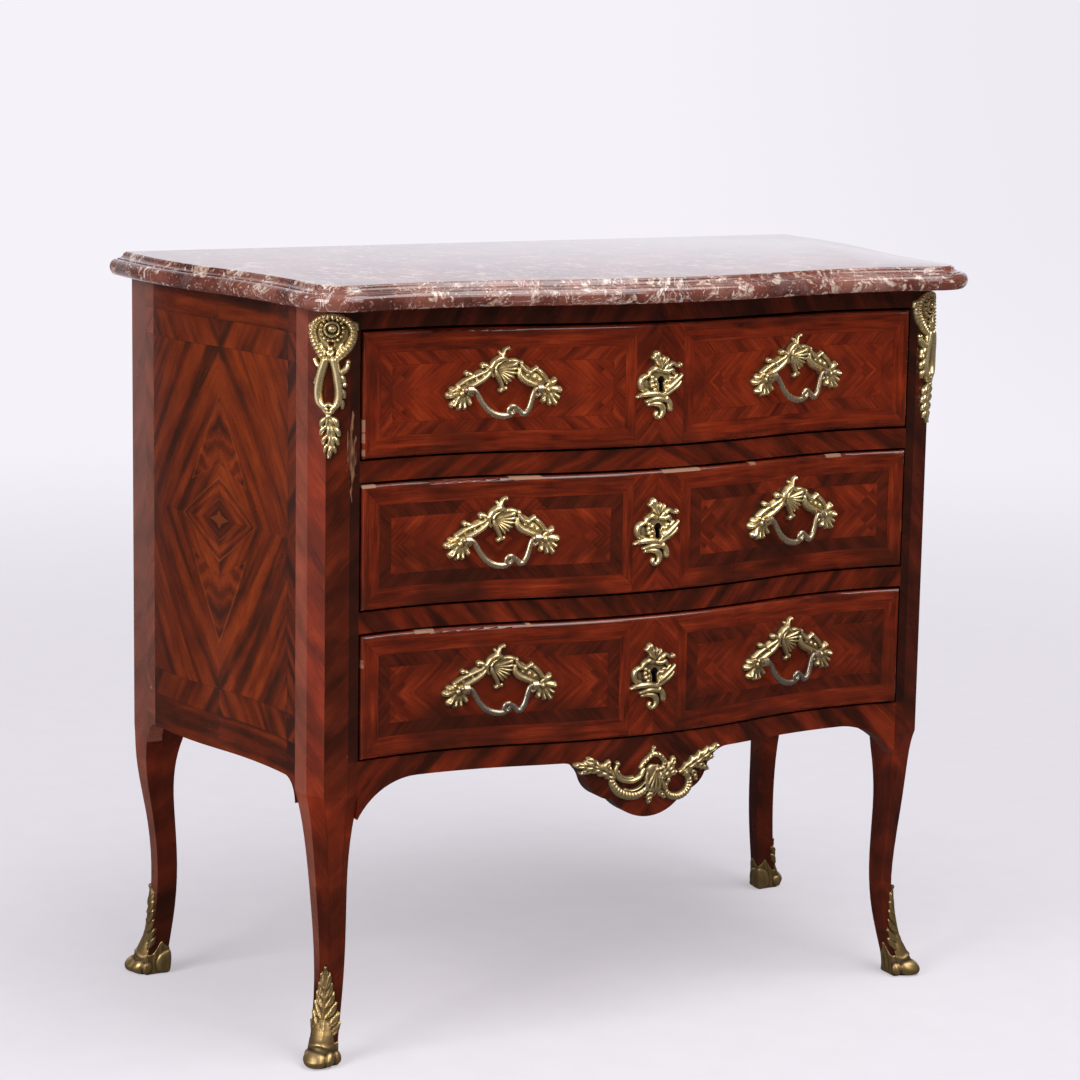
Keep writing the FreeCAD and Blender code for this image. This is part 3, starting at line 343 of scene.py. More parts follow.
def side_veneer(name):
    """Quartered stripes about a small diamond, with two tall kites of arched figure, in mitred bands."""
    finish = Finish(name, POLISH)
    x, y, z = finish.spot().split()
    run = y - SIDE_MIDDLE[0]
    level = z - SIDE_MIDDLE[1]
    spread = abs(run)
    rise = abs(level)
    inside_ends = SIDE_HALF_DEPTH - spread
    inner_edge = SIDE_HALF_HEIGHT - rise
    turned = inner_edge.under(0.0)
    # beyond the turning line the grain comes back the other way
    folded = SIDE_HALF_HEIGHT - abs(inner_edge)
    across = spread * 0.82 + folded * 0.57
    along = spread * 0.57 - folded * 0.82
    frame_band = inside_ends.under(SIDE_BAND)
    across = across * (1.0 - frame_band) + frame_band * (spread * 0.71 - folded * 0.71)
    capping = inner_edge.under(-SIDE_CAP)
    across = across * (1.0 - capping) + capping * z
    along = along * (1.0 - capping) + capping * y
    kite_edge = (rise - 38.0) * 0.0096 + spread * 0.0196
    kite_edge = kite_edge.most((62.0 - rise - spread * 0.47) * 0.05 + 1.0)
    kite = kite_edge.step(1.0, 0.985)
    heart = spread * 0.0149 + rise * 0.0208
    medallion = heart.step(1.0, 0.985)
    core = heart.step(0.48, 0.465)
    seed = frame_band * 3.0 + capping * 6.0 + turned * 2.0
    seed = seed + level.over(0.0) * 0.4 + run.over(0.0) * 0.25
    stripes, pores = figure(finish, across, along, seed, 0.062)
    # long strips, each sawn from a different board
    boards = finish.cloud(across * 0.058, along * 0.0025, seed + 5.0, 1.5)
    stripes = stripes * 0.6 + boards.step(0.36, 0.64) * 0.15 + 0.12
    # inside the kites the figure makes nested arches, round the heart it follows the diamond
    wander = finish.cloud(spread * 0.05, rise * 0.02, level.over(0.0) * 3.0)
    arch = rise * 0.06 - abs(spread - 20.0) * 0.05 + wander * 2.0
    arches = finish.cloud(arch, spread * 0.01, 2.0)
    stripes = stripes * (1.0 - kite * 0.6) + (arches * 0.6 + 0.01) * kite
    rings = finish.cloud(heart * 7.0, spread * 0.01 - rise * 0.01, 5.0)
    stripes = stripes * (1.0 - medallion * 0.5) + rings * medallion * 0.5
    dimmed = (core * 0.75 + capping * 0.3 + frame_band * 0.25).most(y.step(-20.0, 130.0) * 0.4)
    tone = stripes.ramp(SIDE_WOOD).mix(dimmed, stripes.ramp(KINGWOOD))
    # painted sheen: the band at the back is tinted pale, a reflection of the bright studio
    tone = tone.tint(frame_band * run.over(0.0) * (stripes * 0.6 + 0.1), 0.28, 0.105, 0.072)
    rim = (kite_edge - 0.965).seam(0.03, 0.012) * kite
    rim = rim.most((heart - 0.975).seam(0.03, 0.012)).most((heart - 0.49).seam(0.025, 0.01) * 0.6)
    star = (spread * 0.055 + rise * 0.16).least(spread * 0.16 + rise * 0.09)
    star = star.step(1.0, 0.85)
    tone = tone.tint((rim * 0.35).most(star * 0.4), 0.24, 0.050, 0.009)
    seam = (inside_ends - SIDE_BAND).seam(0.6).most(inner_edge.seam(0.6))
    seam = seam.most((inner_edge + SIDE_CAP).seam(0.6))
    tone = tone.tint(seam * 0.4, 0.010, 0.003, 0.001)
    wear = finish.cloud(y * 0.02, z * 0.03, 4.0, 2.0).step(0.78, 0.79)
    return polish(finish, tone, pores, wear * frame_band)


def post_veneer(name, ridge, splay, strip_reach):
    """Herringbone laid on both sides of the post's ridge, with a dark strip beside the drawers."""
    finish = Finish(name, POLISH)
    x, y, z = finish.spot().split()
    reach = abs(x)
    right = x.over(0.0)
    turn = (reach - ridge[0]) * splay[0] + (y - ridge[1]) * splay[1]
    spread = abs(turn)
    across = z * 0.60 - spread * 0.80
    along = z * 0.80 + spread * 0.60
    stripes, pores = figure(finish, across, along, turn.over(0.0) * 2.0 + right * 5.0, 0.05)
    strip = reach.under(strip_reach) * z.over(LEG_TOP)
    leg = z.step(300.0, 220.0)
    plumb, plumb_pores = figure(finish, turn, z, 8.0, 0.11)
    light = stripes.ramp(TULIPWOOD).mix(leg * 0.7, plumb.ramp(TULIPWOOD))
    shade = finish.cloud(x * 0.01, y * 0.01, z * 0.008, 2.0)
    inner = turn.under(0.0) * z.step(250.0, 330.0) * 0.92
    dimmed = (strip * 0.95).most(shade.step(0.5, 0.75) * 0.5 + leg * 0.75).most(inner)
    tone = light.mix(dimmed, stripes.ramp(KINGWOOD))
    tone = tone.tint(strip * 0.55, 0.008, 0.004, 0.003)
    beside = reach - strip_reach
    seam = beside.seam().most(spread.step(0.5, 0.2) * 0.6)
    tone = tone.tint(seam * 0.5, 0.012, 0.004, 0.002)
    chips = finish.cloud(z * 0.022, x * 0.1, 2.0)
    wear = chips.step(0.69, 0.70) * beside.seam(2.2, 1.2) * z.over(LEG_TOP)
    # one long tear beside the upper drawer on the left
    torn = finish.cloud(z * 0.05, reach * 0.28, 6.0, 5.0)
    gash = abs(z - 672.0) * 0.013 + abs(beside + 2.0) * 0.10 - torn * 2.0
    gash = gash.step(-0.46, -0.52) * x.under(0.0)
    splinters = torn.step(0.45, 0.65).ramp(((0.0, (0.070, 0.028, 0.015)), (1.0, (0.24, 0.115, 0.062))))
    tone = tone.mix(gash * 0.85, splinters)
    # painted sheen: faces turned outwards are tinted pale, as if mirroring the bright studio
    painted_sheen = (finish.facing("X") * (right * 2.0 - 1.0)).step(0.90, 0.98) * z.step(60.0, 140.0)
    tone = tone.tint(painted_sheen * (stripes * 0.65 + 0.04), 0.32, 0.120, 0.082)
    return polish(finish, tone, pores, wear)


def oak(name, with_grain):
    """Plain riven oak boards, dusty and unpolished."""
    finish = Finish(name, {"Roughness": 0.62, "Specular IOR Level": 0.3})
    x, y, z = finish.spot().split()
    across, along = (y + z, x) if with_grain == "x" else (x + z, y)
    width = across * 0.0085 + 0.3
    board = width.sum("FLOOR")
    edge = width.sum("FRACT")
    stripes, pores = figure(finish, across, along, board * 3.7 + 1.0, 0.09)
    rays = finish.cloud(across * 0.3, along * 0.05, 5.0, 2.0)
    choice = finish.cloud(board * 5.3, 0.0, 2.0, 1.0)
    tone = ((stripes - 0.5) * 1.6 + choice * 0.7 + 0.15).ramp(OAK_TONES)
    joint = edge.least(1.0 - edge).step(0.010, 0.004)
    tone = tone.tint(joint * 0.7, 0.05, 0.028, 0.014)
    tone = tone.tint(rays.step(0.66, 0.70) * 0.25, 0.50, 0.37, 0.24)
    tone = tone.tint(pores * 0.4, 0.07, 0.04, 0.02)
    grime = finish.noise(finish.spot(), 0.012, 4.0)
    tone = tone.tint(grime.step(0.55, 0.75) * 0.35, 0.12, 0.07, 0.035)
    finish.feed("Base Color", tone)
    finish.feed("Roughness", grime * 0.2 + 0.52)
    finish.bump(stripes - pores, 0.25, 0.0005)
    return finish.material


# Stone and metal

def red_marble():
    """Red-brown stone with irregular cream patches, grey-mauve clouds, white flecks and a few thin veins."""
    finish = Finish("red_marble", {"Roughness": 0.12, "IOR": 1.52, "Coat Weight": 0.5, "Coat Roughness": 0.05})
    spot = finish.spot()
    warp = finish.node("TexNoise", {"Vector": spot, "Scale": 0.014, "Detail": 5.0}, "Color")
    warp = finish.node("VectorMath", {0: warp, 1: (80.0, 80.0, 80.0), 2: spot}, operation="MULTIPLY_ADD")
    clouds = finish.noise(warp, 0.014, 6.0)
    tone = clouds.ramp((
        (0.34, (0.072, 0.020, 0.014)), (0.46, (0.135, 0.037, 0.025)),
        (0.57, (0.200, 0.066, 0.044)), (0.70, (0.270, 0.115, 0.082)),
    ))
    veil = finish.noise(warp, 0.023, 4.0).step(0.53, 0.64)
    tone = tone.tint(veil * 0.3, 0.20, 0.135, 0.125)
    cream = finish.noise(warp, 0.036, 6.0, 1.4).step(0.55, 0.61)
    pale = finish.noise(warp, 0.085, 5.0, 2.0).ramp((
        (0.34, (0.13, 0.045, 0.032)), (0.44, (0.33, 0.17, 0.110)),
        (0.53, (0.50, 0.36, 0.280)), (0.66, (0.72, 0.65, 0.60)),
    ))
    tone = tone.mix(cream * 0.9, pale)
    flecks = finish.node("TexVoronoi", {"Vector": warp, "Scale": 0.13}, "Distance")
    flecks = flecks.step(0.27, 0.17) * finish.noise(spot, 0.03, 2.0).step(0.44, 0.57)
    tone = tone.tint(flecks * 0.75, 0.64, 0.54, 0.47)
    specks = finish.noise(spot, 0.33, 2.0).step(0.64, 0.69)
    tone = tone.tint(specks * 0.55, 0.50, 0.38, 0.31)
    vein = (finish.noise(warp, 0.02, 5.0, 1.0) - 0.5).seam(0.008, 0.002)
    vein = vein * clouds.step(0.42, 0.52)
    tone = tone.tint(vein * 0.75, 0.62, 0.53, 0.48)
    dark = (finish.noise(warp, 0.03, 3.0) - 0.5).seam(0.010, 0.003)
    tone = tone.tint(dark * 0.55, 0.035, 0.016, 0.014)
    finish.feed("Base Color", tone)
    finish.feed("Coat Weight", finish.facing("Z").step(0.93, 0.99) * 0.7 + 0.3)
    finish.feed("Roughness", cream * 0.04 + clouds * 0.1 + 0.06)
    finish.bump(vein * -1.0 + clouds * 0.5, 0.05, 0.0003)
    return finish.material


def cast_bronze(name, bright, dull, rough):
    """Chased bronze: a painted highlight on the high places, and brown to black in the piece's hollows, part
    patina and part painted shade.
    """
    finish = Finish(name, {"Metallic": 0.8, "Roughness": rough})
    hollow = finish.node("Attribute", {}, "Fac", attribute_name="hollow")
    spot = finish.spot()
    rubbed = finish.noise(spot, 0.13, 4.0)
    spots = finish.noise(spot, 0.7, 4.0)
    # brightest where hollow is nought, a painted highlight; brown to black deeper in, part patina and part
    # painted shade
    depth = (hollow + spots * 0.18 + rubbed * 0.45 - 0.32).most(0.0).least(1.0)
    brown, black = [tuple(share * n for n in dull) for share in (0.45, 0.09)]
    finish.feed("Base Color", depth.ramp(((0.0, bright), (0.24, dull), (0.52, brown), (0.90, black))))
    finish.feed("Metallic", 0.85 - depth * 0.45)
    finish.feed("Roughness", depth * 0.35 + spots * 0.16 + (rough - 0.1))
    finish.bump(spots, 0.12, 0.0004)
    return finish.material


def dark_steel():
    finish = Finish("lock_steel", {"Metallic": 1.0})
    x, y, z = finish.spot().split()
    brushed = finish.cloud(x * 0.4, y * 0.4, z * 4.0)
    rust = finish.noise(finish.spot(), 0.08, 4.0).step(0.55, 0.7)
    tone = brushed.ramp(((0.3, (0.16, 0.155, 0.15)), (0.7, (0.34, 0.33, 0.32))))
    finish.feed("Base Color", tone.tint(rust * 0.5, 0.10, 0.05, 0.03))
    finish.feed("Roughness", rust * 0.3 + brushed * 0.2 + 0.28)
    finish.bump(brushed, 0.1, 0.0002)
    return finish.material


GILT = cast_bronze("gilt_bronze", (0.91, 0.73, 0.395), (0.55, 0.385, 0.145), 0.27)
# a duller, darker gilt for the lower drawer's mounts and the apron
DULL_GILT = cast_bronze("dull_gilt", (0.66, 0.50, 0.26), (0.33, 0.225, 0.095), 0.32)
FOOT_BRONZE = cast_bronze("foot_bronze", (0.44, 0.30, 0.125), (0.225, 0.14, 0.052), 0.36)
DARK_BRONZE = cast_bronze("dark_bronze", (0.56, 0.44, 0.28), (0.27, 0.195, 0.11), 0.27)
# a darker bronze for the lower drawer's bails
DARKER_BAIL_BRONZE = cast_bronze("darker_bail_bronze", (0.36, 0.30, 0.23), (0.16, 0.122, 0.08), 0.29)
MARBLE = red_marble()
STEEL = dark_steel()


# Modelling by hand

def settle(piece, finish, slot, body, *nodes):
    """Finishes a piece: its material, the body it moves with and the nodes it stands for."""
    piece.data.materials.clear()
    piece.data.materials.append(finish)
    piece.data.shade_smooth()
    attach(piece, body)
    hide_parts(*nodes)


def fresh():
    bpy.ops.object.select_all(action="DESELECT")


def named(name):
    """Names the piece that was just made."""
    piece = bpy.context.active_object
    piece.name = name
    piece.data.name = name
    return piece


def joined(name, pieces):
    fresh()
    for piece in pieces:
        piece.select_set(True)
    bpy.context.view_layer.objects.active = pieces[0]
    bpy.ops.object.join()
    return named(name)


@contextmanager
def editing():
    """Edit mode on the active piece."""
    bpy.ops.object.mode_set(mode="EDIT")
    yield
    bpy.ops.object.mode_set(mode="OBJECT")


def select_all():
    bpy.ops.mesh.select_all(action="SELECT")


def face_outwards():
    select_all()
    bpy.ops.mesh.normals_make_consistent(inside=False)


def corner_points(mesh):
    return np.array([v.co[:] for v in mesh.vertices]) / MM


def keep_hollows(mesh, depths):
    """Writes how deep each point lies in its hollows, for the bronze to darken; on the bails it carries painted
    shade instead.
    """
    mark = mesh.attributes.new("hollow", "FLOAT", "POINT")
    mark.data.foreach_set("value", depths.astype(np.float32))


def curve_between(a, b, c, d, t):
    """A point on the smooth curve from b to c, whose neighbours are a and d."""
    return 0.5 * (2 * b + (c - a) * t + (2 * a - 5 * b + 4 * c - d) * t ** 2
                  + (3 * b - a - 3 * c + d) * t ** 3)


def smooth_line(rows, step=0.6):
    """Rows of numbers along a smooth curve through the given rows."""
    rows = np.array(rows, float)
    padded = np.vstack([2 * rows[0] - rows[1], rows, 2 * rows[-1] - rows[-2]])
    runs = []
    for a, b, c, d in zip(padded[:-3], padded[1:-2], padded[2:-1], padded[3:]):
        count = max(2, int(np.linalg.norm((c - b)[:2]) / step))
        runs.append(curve_between(a, b, c, d, np.linspace(0, 1, count, endpoint=False)[:, None]))
    return np.vstack(runs + [rows[-1:]])


# Marble top

# How far each line of the moulding lies inside the outline, and its level
MARBLE_UPPER = (
    (0.0, 833.6), (0.5, 836.2), (1.6, 838.6), (3.3, 840.5), (5.3, 841.7), (7.4, 842.2), (8.6, 841.9),
    (9.0, 841.3), (9.3, 841.3), (9.5, 842.6), (9.9, 843.1), (11.2, 843.3), (12.6, 843.5), (14.2, 844.2),
    (15.6, 845.4), (16.6, 846.9), (17.1, 848.3), (17.3, 848.6), (18.6, 848.7), (18.9, 849.3), (19.7, 849.8),
    (20.8, 850.0),
)
MARBLE_LOWER = ((0.0, 833.6), (0.4, 831.0), (1.4, 828.4), (2.8, 826.2), (4.4, 824.6), (6.0, 824.0))
SHARP_TURN = math.radians(25)
CREASE = math.radians(32)


def marble_outline():
    """The slab's widest line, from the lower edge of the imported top, with its arcs drawn fine."""
    points = corner_points(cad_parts["marble_top"].data)
    foot = np.unique(np.round(points[points[:, 2] < MARBLE_FOOT + 0.05][:, :2], 2), axis=0)
    foot = foot[np.argsort(np.arctan2(foot[:, 1], foot[:, 0]))]
    ways = np.roll(foot, -1, 0) - foot
    ways = ways / np.linalg.norm(ways, axis=1)[:, None]
    corner = (ways * np.roll(ways, 1, 0)).sum(1) < math.cos(SHARP_TURN)
    line = []
    for k in range(len(foot)):
        b, c = foot[k], foot[(k + 1) % len(foot)]
        a = 2 * b - c if corner[k] else foot[k - 1]
        d = 2 * c - b if corner[(k + 1) % len(foot)] else foot[(k + 2) % len(foot)]
        count = max(1, int(np.linalg.norm(c - b) / 5.0))
        line += [curve_between(a, b, c, d, t) for t in np.arange(count) / count]
    line = np.array(line)
    ways = line - np.roll(line, 1, 0), np.roll(line, -1, 0) - line
    before, after = [np.stack([w[:, 1], -w[:, 0]], 1) / np.linalg.norm(w, axis=1)[:, None] for w in ways]
    mitre = before + after
    line = line + mitre / (mitre * before).sum(1)[:, None] * MARBLE_UNDERCUT
    line[line[:, 1] > MARBLE_BACK, 1] += MARBLE_SPARE
    return line


def marble_top():
    """A slab drawn as its widest outline and stepped inwards, up and down, along the moulding."""
    outline = marble_outline()
    halves = []
    for name, profile in (("marble_top_piece", MARBLE_UPPER), ("marble_underside", MARBLE_LOWER)):
        fresh()
        bpy.ops.mesh.primitive_circle_add(vertices=len(outline), fill_type="NGON")
        half = named(name)
        level = np.full((len(outline), 1), profile[0][1])
        half.data.vertices.foreach_set("co", (np.hstack([outline, level]) * MM).ravel())
        half.data.update()
        if half.data.polygons[0].normal.z < 0:
            half.data.flip_normals()
        with editing():
            select_all()
            for (set_in, height), (next_in, next_height) in zip(profile, profile[1:]):
                bpy.ops.mesh.inset(thickness=(next_in - set_in) * MM, depth=(next_height - height) * MM)
        halves.append(half)
    top = joined("marble_top_piece", halves)
    with editing():
        select_all()
        bpy.ops.mesh.remove_doubles(threshold=0.02 * MM)
        bpy.ops.mesh.bisect(plane_co=(0, MARBLE_BACK * MM, 0), plane_no=(0, 1, 0), use_fill=True,
                            clear_outer=True)
        face_outwards()
    settle(top, MARBLE, "marble", "carcass", "marble_top")
    bpy.ops.object.shade_smooth_by_angle(angle=CREASE)


# Bronze castings

BURIED = -1.6
EDGE = 1.0


def spread_out(heights, passes):
    """Heights softened by their neighbours, over and over."""
    for turn in range(passes):
        padded = np.pad(heights, 1, mode="edge")
        heights = (padded[:-2, 1:-1] + padded[2:, 1:-1] + padded[1:-1, :-2] + padded[1:-1, 2:]
                   + 2 * padded[1:-1, 1:-1]) / 6
    return heights


def net_piece(name, places, heights, hollow):
    """A piece from rows of places in millimetres, without the faces that lie buried in the wood."""
    rows, columns = heights.shape
    fresh()
    bpy.ops.mesh.primitive_grid_add(x_subdivisions=columns - 1, y_subdivisions=rows - 1, size=2.0)
    piece = named(name)
    mesh = piece.data
    flat = np.empty(len(mesh.vertices) * 3)
    mesh.vertices.foreach_get("co", flat)
    flat = flat.reshape(-1, 3)
    column = np.rint((flat[:, 0] + 1) / 2 * (columns - 1)).astype(int)
    row = np.rint((flat[:, 1] + 1) / 2 * (rows - 1)).astype(int)
    mesh.vertices.foreach_set("co", (places[row, column] * MM).ravel())
    keep_hollows(mesh, hollow[row, column])
    corners = np.empty(len(mesh.polygons) * 4, int)
    mesh.polygons.foreach_get("vertices", corners)
    sunk = (heights[row, column] < BURIED + 0.25)[corners.reshape(-1, 4)].all(1)
    mesh.update()
    with editing():
        bpy.ops.mesh.select_mode(type="FACE")
    mesh.polygons.foreach_set("select", sunk)
    with editing():
        bpy.ops.mesh.delete(type="FACE")
    return piece


class Casting:
    """A chased relief, kept as heights in millimetres over a fine net laid on the wood.

    Lines are rows of (across, up, half width)."""

    def __init__(self, low, high, cell=0.5):
        self.across = np.arange(low[0], high[0] + cell, cell)
        self.upward = np.arange(low[1], high[1] + cell, cell)
        self.u, self.v = np.meshgrid(self.across, self.upward)
        self.height = np.full(self.u.shape, BURIED)

    def window(self, low, high):
        columns = np.searchsorted(self.across, (low[0], high[0]))
        rows = np.searchsorted(self.upward, (low[1], high[1]))
        return slice(rows[0], rows[1]), slice(columns[0], columns[1])

    def window_round(self, u, v, reach):
        part = self.window((u - reach, v - reach), (u + reach, v + reach))
        return part, self.u[part] - u, self.v[part] - v

    def along(self, points):
        """How far each place lies from a line, the line's half width there, and how far along it is."""
        path = smooth_line(points)
        reach = path[:, 2].max() * 1.4 + 1.5
        part = self.window(path[:, :2].min(0) - reach, path[:, :2].max(0) + reach)
        u, v = self.u[part][..., None], self.v[part][..., None]
        run = np.concatenate([[0.0], np.cumsum(np.linalg.norm(np.diff(path[:, :2], axis=0), axis=1))])
        away = np.hypot(u - path[:, 0], v - path[:, 1])
        near = np.argmin(away / path[:, 2], axis=-1)
        distance = np.take_along_axis(away, near[..., None], -1)[..., 0]
        way = np.gradient(path[:, :2], axis=0)
        side = np.sign(way[near, 0] * (v[..., 0] - path[near, 1]) - way[near, 1] * (u[..., 0] - path[near, 0]))
        return part, distance, path[near, 2], run[near], run[-1], side

    def lay(self, part, distance, reach, rise):
        """Raises the net to a form that is `rise` high inside `reach` and falls away outside it."""
        form = np.where(distance < reach, EDGE + rise, EDGE - 4.0 * (distance - reach))
        self.height[part] = np.maximum(self.height[part], np.maximum(form, BURIED))

    def rod(self, points, lift, ribs=0.0, pitch=3.2):
        part, distance, reach, run, total, side = self.along(points)
        round_off = np.sqrt(np.clip(1 - (distance / reach) ** 2, 0, 1))
        slant = run / pitch + 0.25 * side * distance / reach
        gadroon = 1 - ribs * (0.5 + 0.5 * np.cos(2 * np.pi * slant))
        self.lay(part, distance, reach, lift * reach * round_off * gadroon)

    def leaf(self, points, lobes, rise, lean=0.8):
        """A leaf along a line: margins scalloped towards the tip and a sunk midrib."""
        part, distance, reach, run, total, side = self.along(points)
        wave = 0.5 + 0.5 * np.cos(2 * np.pi * (lobes * run / total - lean * distance / reach))
        lobed = reach * (0.78 + 0.22 * wave)
        share = np.clip(distance / lobed, 0, 1)
        body = np.sqrt(1 - share ** 2) * (0.76 + 0.24 * wave)
        rib = 0.30 * np.exp(-(distance / 0.8) ** 2) * np.clip(reach / 4.0 - 0.5, 0, 1)
        self.lay(part, distance, lobed, rise * (body - rib))

    def bead(self, u, v, radius, lift=1.0):
        part, across, upward = self.window_round(u, v, radius + 1.5)
        distance = np.hypot(across, upward)
        dome = np.sqrt(np.clip(radius ** 2 - distance ** 2, 0, None))
        self.lay(part, distance, radius, lift * dome + 0.8)

    def rods(self, *rows):
        for lift, *points in rows:
            self.rod(points, lift)

    def leaves(self, *rows):
        for lobes, rise, *points in rows:
            self.leaf(points, lobes, rise)

    def beads(self, *rows):
        for row in rows:
            self.bead(*row)

    def petals(self, hinge, *tips):
        """Round-ended leaves that spread from a hinge, each with a sunk middle."""
        for u, v, wide in tips:
            middle = (hinge[0] * 0.45 + u * 0.55, hinge[1] * 0.45 + v * 0.55)
            self.rod([(*hinge, wide * 0.5), (*middle, wide * 0.8), (u, v, wide * 0.72)], 0.85)
            self.rod([(*middle, wide * 0.3), (u, v, wide * 0.5)], 2.0)

    def shell(self, hinge, first, last, radii, flutes, rise, cup):
        """Flutes that spread from a hinge between two angles, as long as `radii` at each of them."""
        part, u, v = self.window_round(*hinge, max(radii) * 1.2)
        distance = np.hypot(u, v)
        middle, half = math.radians((first + last) / 2), math.radians((last - first) / 2)
        angle = (np.arctan2(v, u) - middle + np.pi) % (2 * np.pi) - np.pi
        along = np.clip(angle / (2 * half) + 0.5, 0, 1)
        ridge = np.abs(np.sin(np.pi * flutes * along))
        rim = (radii[0] + (radii[1] - radii[0]) * along) * (0.88 + 0.12 * ridge)
        beyond = np.clip(np.abs(angle) - half, 0, None) * distance
        share = np.clip(distance / rim, 0, 1)
        form = rise * (cup + (1 - cup) * share) * (0.5 + 0.5 * ridge) * np.sqrt(1 - share ** 6)
        self.lay(part, distance + 3.0 * beyond, rim, form)

    def pierce(self, inside):
        self.height = np.where(inside, BURIED, self.height)

    def cast(self, name, bend, relief):
        """Turns the net into a piece: bend(u, v, height) gives each point its place in millimetres."""
        heights = spread_out(self.height, 2)
        heights = np.where(heights > EDGE, EDGE + relief * (heights - EDGE), heights)
        level = spread_out(np.maximum(heights, -0.5), 30)
        # how far each point lies below its smoothed neighbours: the bronze shows patina and painted shade
        # there, and painted highlight where it is least
        hollow = np.clip((level - heights) * 0.6 + 0.18, 0, 1)
        places = bend(self.u.ravel(), self.v.ravel(), heights.ravel())
        return net_piece(name, places.reshape(*heights.shape, 3), heights, hollow)


def face_line(x, proud):
    """The serpentine front at x: its y and its outward direction, for a face standing `proud`."""
    reach = np.abs(x)
    middle = reach < BULGE_END
    bulge = BULGE_RADIUS + proud
    hollow = FLANK_RADIUS - proud
    swell = np.sqrt(bulge ** 2 - np.where(middle, x, 0) ** 2)
    off = np.where(middle, 0, reach - FLANK_CENTRE[0])
    dip = np.sqrt(hollow ** 2 - off ** 2)
    y = np.where(middle, BULGE_CENTRE - swell, FLANK_CENTRE[1] + dip)
    slope = np.where(middle, x / swell, -np.sign(x) * off / dip)
    length = np.sqrt(1 + slope ** 2)
    return y, slope / length, -1 / length


def on_front(centre, base, proud):
    """A bend that lays a casting on the serpentine front with its origin at x = centre, z = base."""
    def bend(u, v, height):
        y, out_x, out_y = face_line(np.full_like(u, centre), proud)
        x = centre - u * out_y
        y, out_x, out_y = face_line(x, proud)
        return np.stack([x + out_x * height, y + out_y * height, base + v], 1)
    return bend


# The two faces of a front post beside its ridge: the way along each, and outwards from it
RIDGE_ROUND = 9.0
TOWARDS_DRAWER = np.array([-24.0, -9.0]) / math.hypot(24.0, 9.0)
TOWARDS_SIDE = np.array([12.0, 20.0]) / math.hypot(12.0, 20.0)
DRAWER_FACE_OUT = np.array([9.0, -24.0]) / 25.63
SIDE_FACE_OUT = np.array([20.0, -12.0]) / 23.32


def on_corner(side):
    """A bend that folds a casting over the ridge of a front post."""
    def bend(u, v, height):
        along = np.where(u[:, None] > 0, TOWARDS_DRAWER, TOWARDS_SIDE)
        spot = np.array(POST_RIDGE) + along * np.abs(u)[:, None]
        share = np.clip(u / RIDGE_ROUND, -1, 1) * 0.5 + 0.5
        out = np.outer(share, DRAWER_FACE_OUT) + np.outer(1 - share, SIDE_FACE_OUT)
        out = out / np.linalg.norm(out, axis=1)[:, None]
        spot[:, 1] = np.maximum(spot[:, 1], POST_FRONT)
        round_off = np.clip(1 - np.abs(u) / RIDGE_ROUND, 0, 1) ** 2 * 1.2
        spot = spot + out * (height - round_off)[:, None]
        return np.stack([side * spot[:, 0], spot[:, 1], CORNER_MOUNT_TOP - v], 1)
    return bend


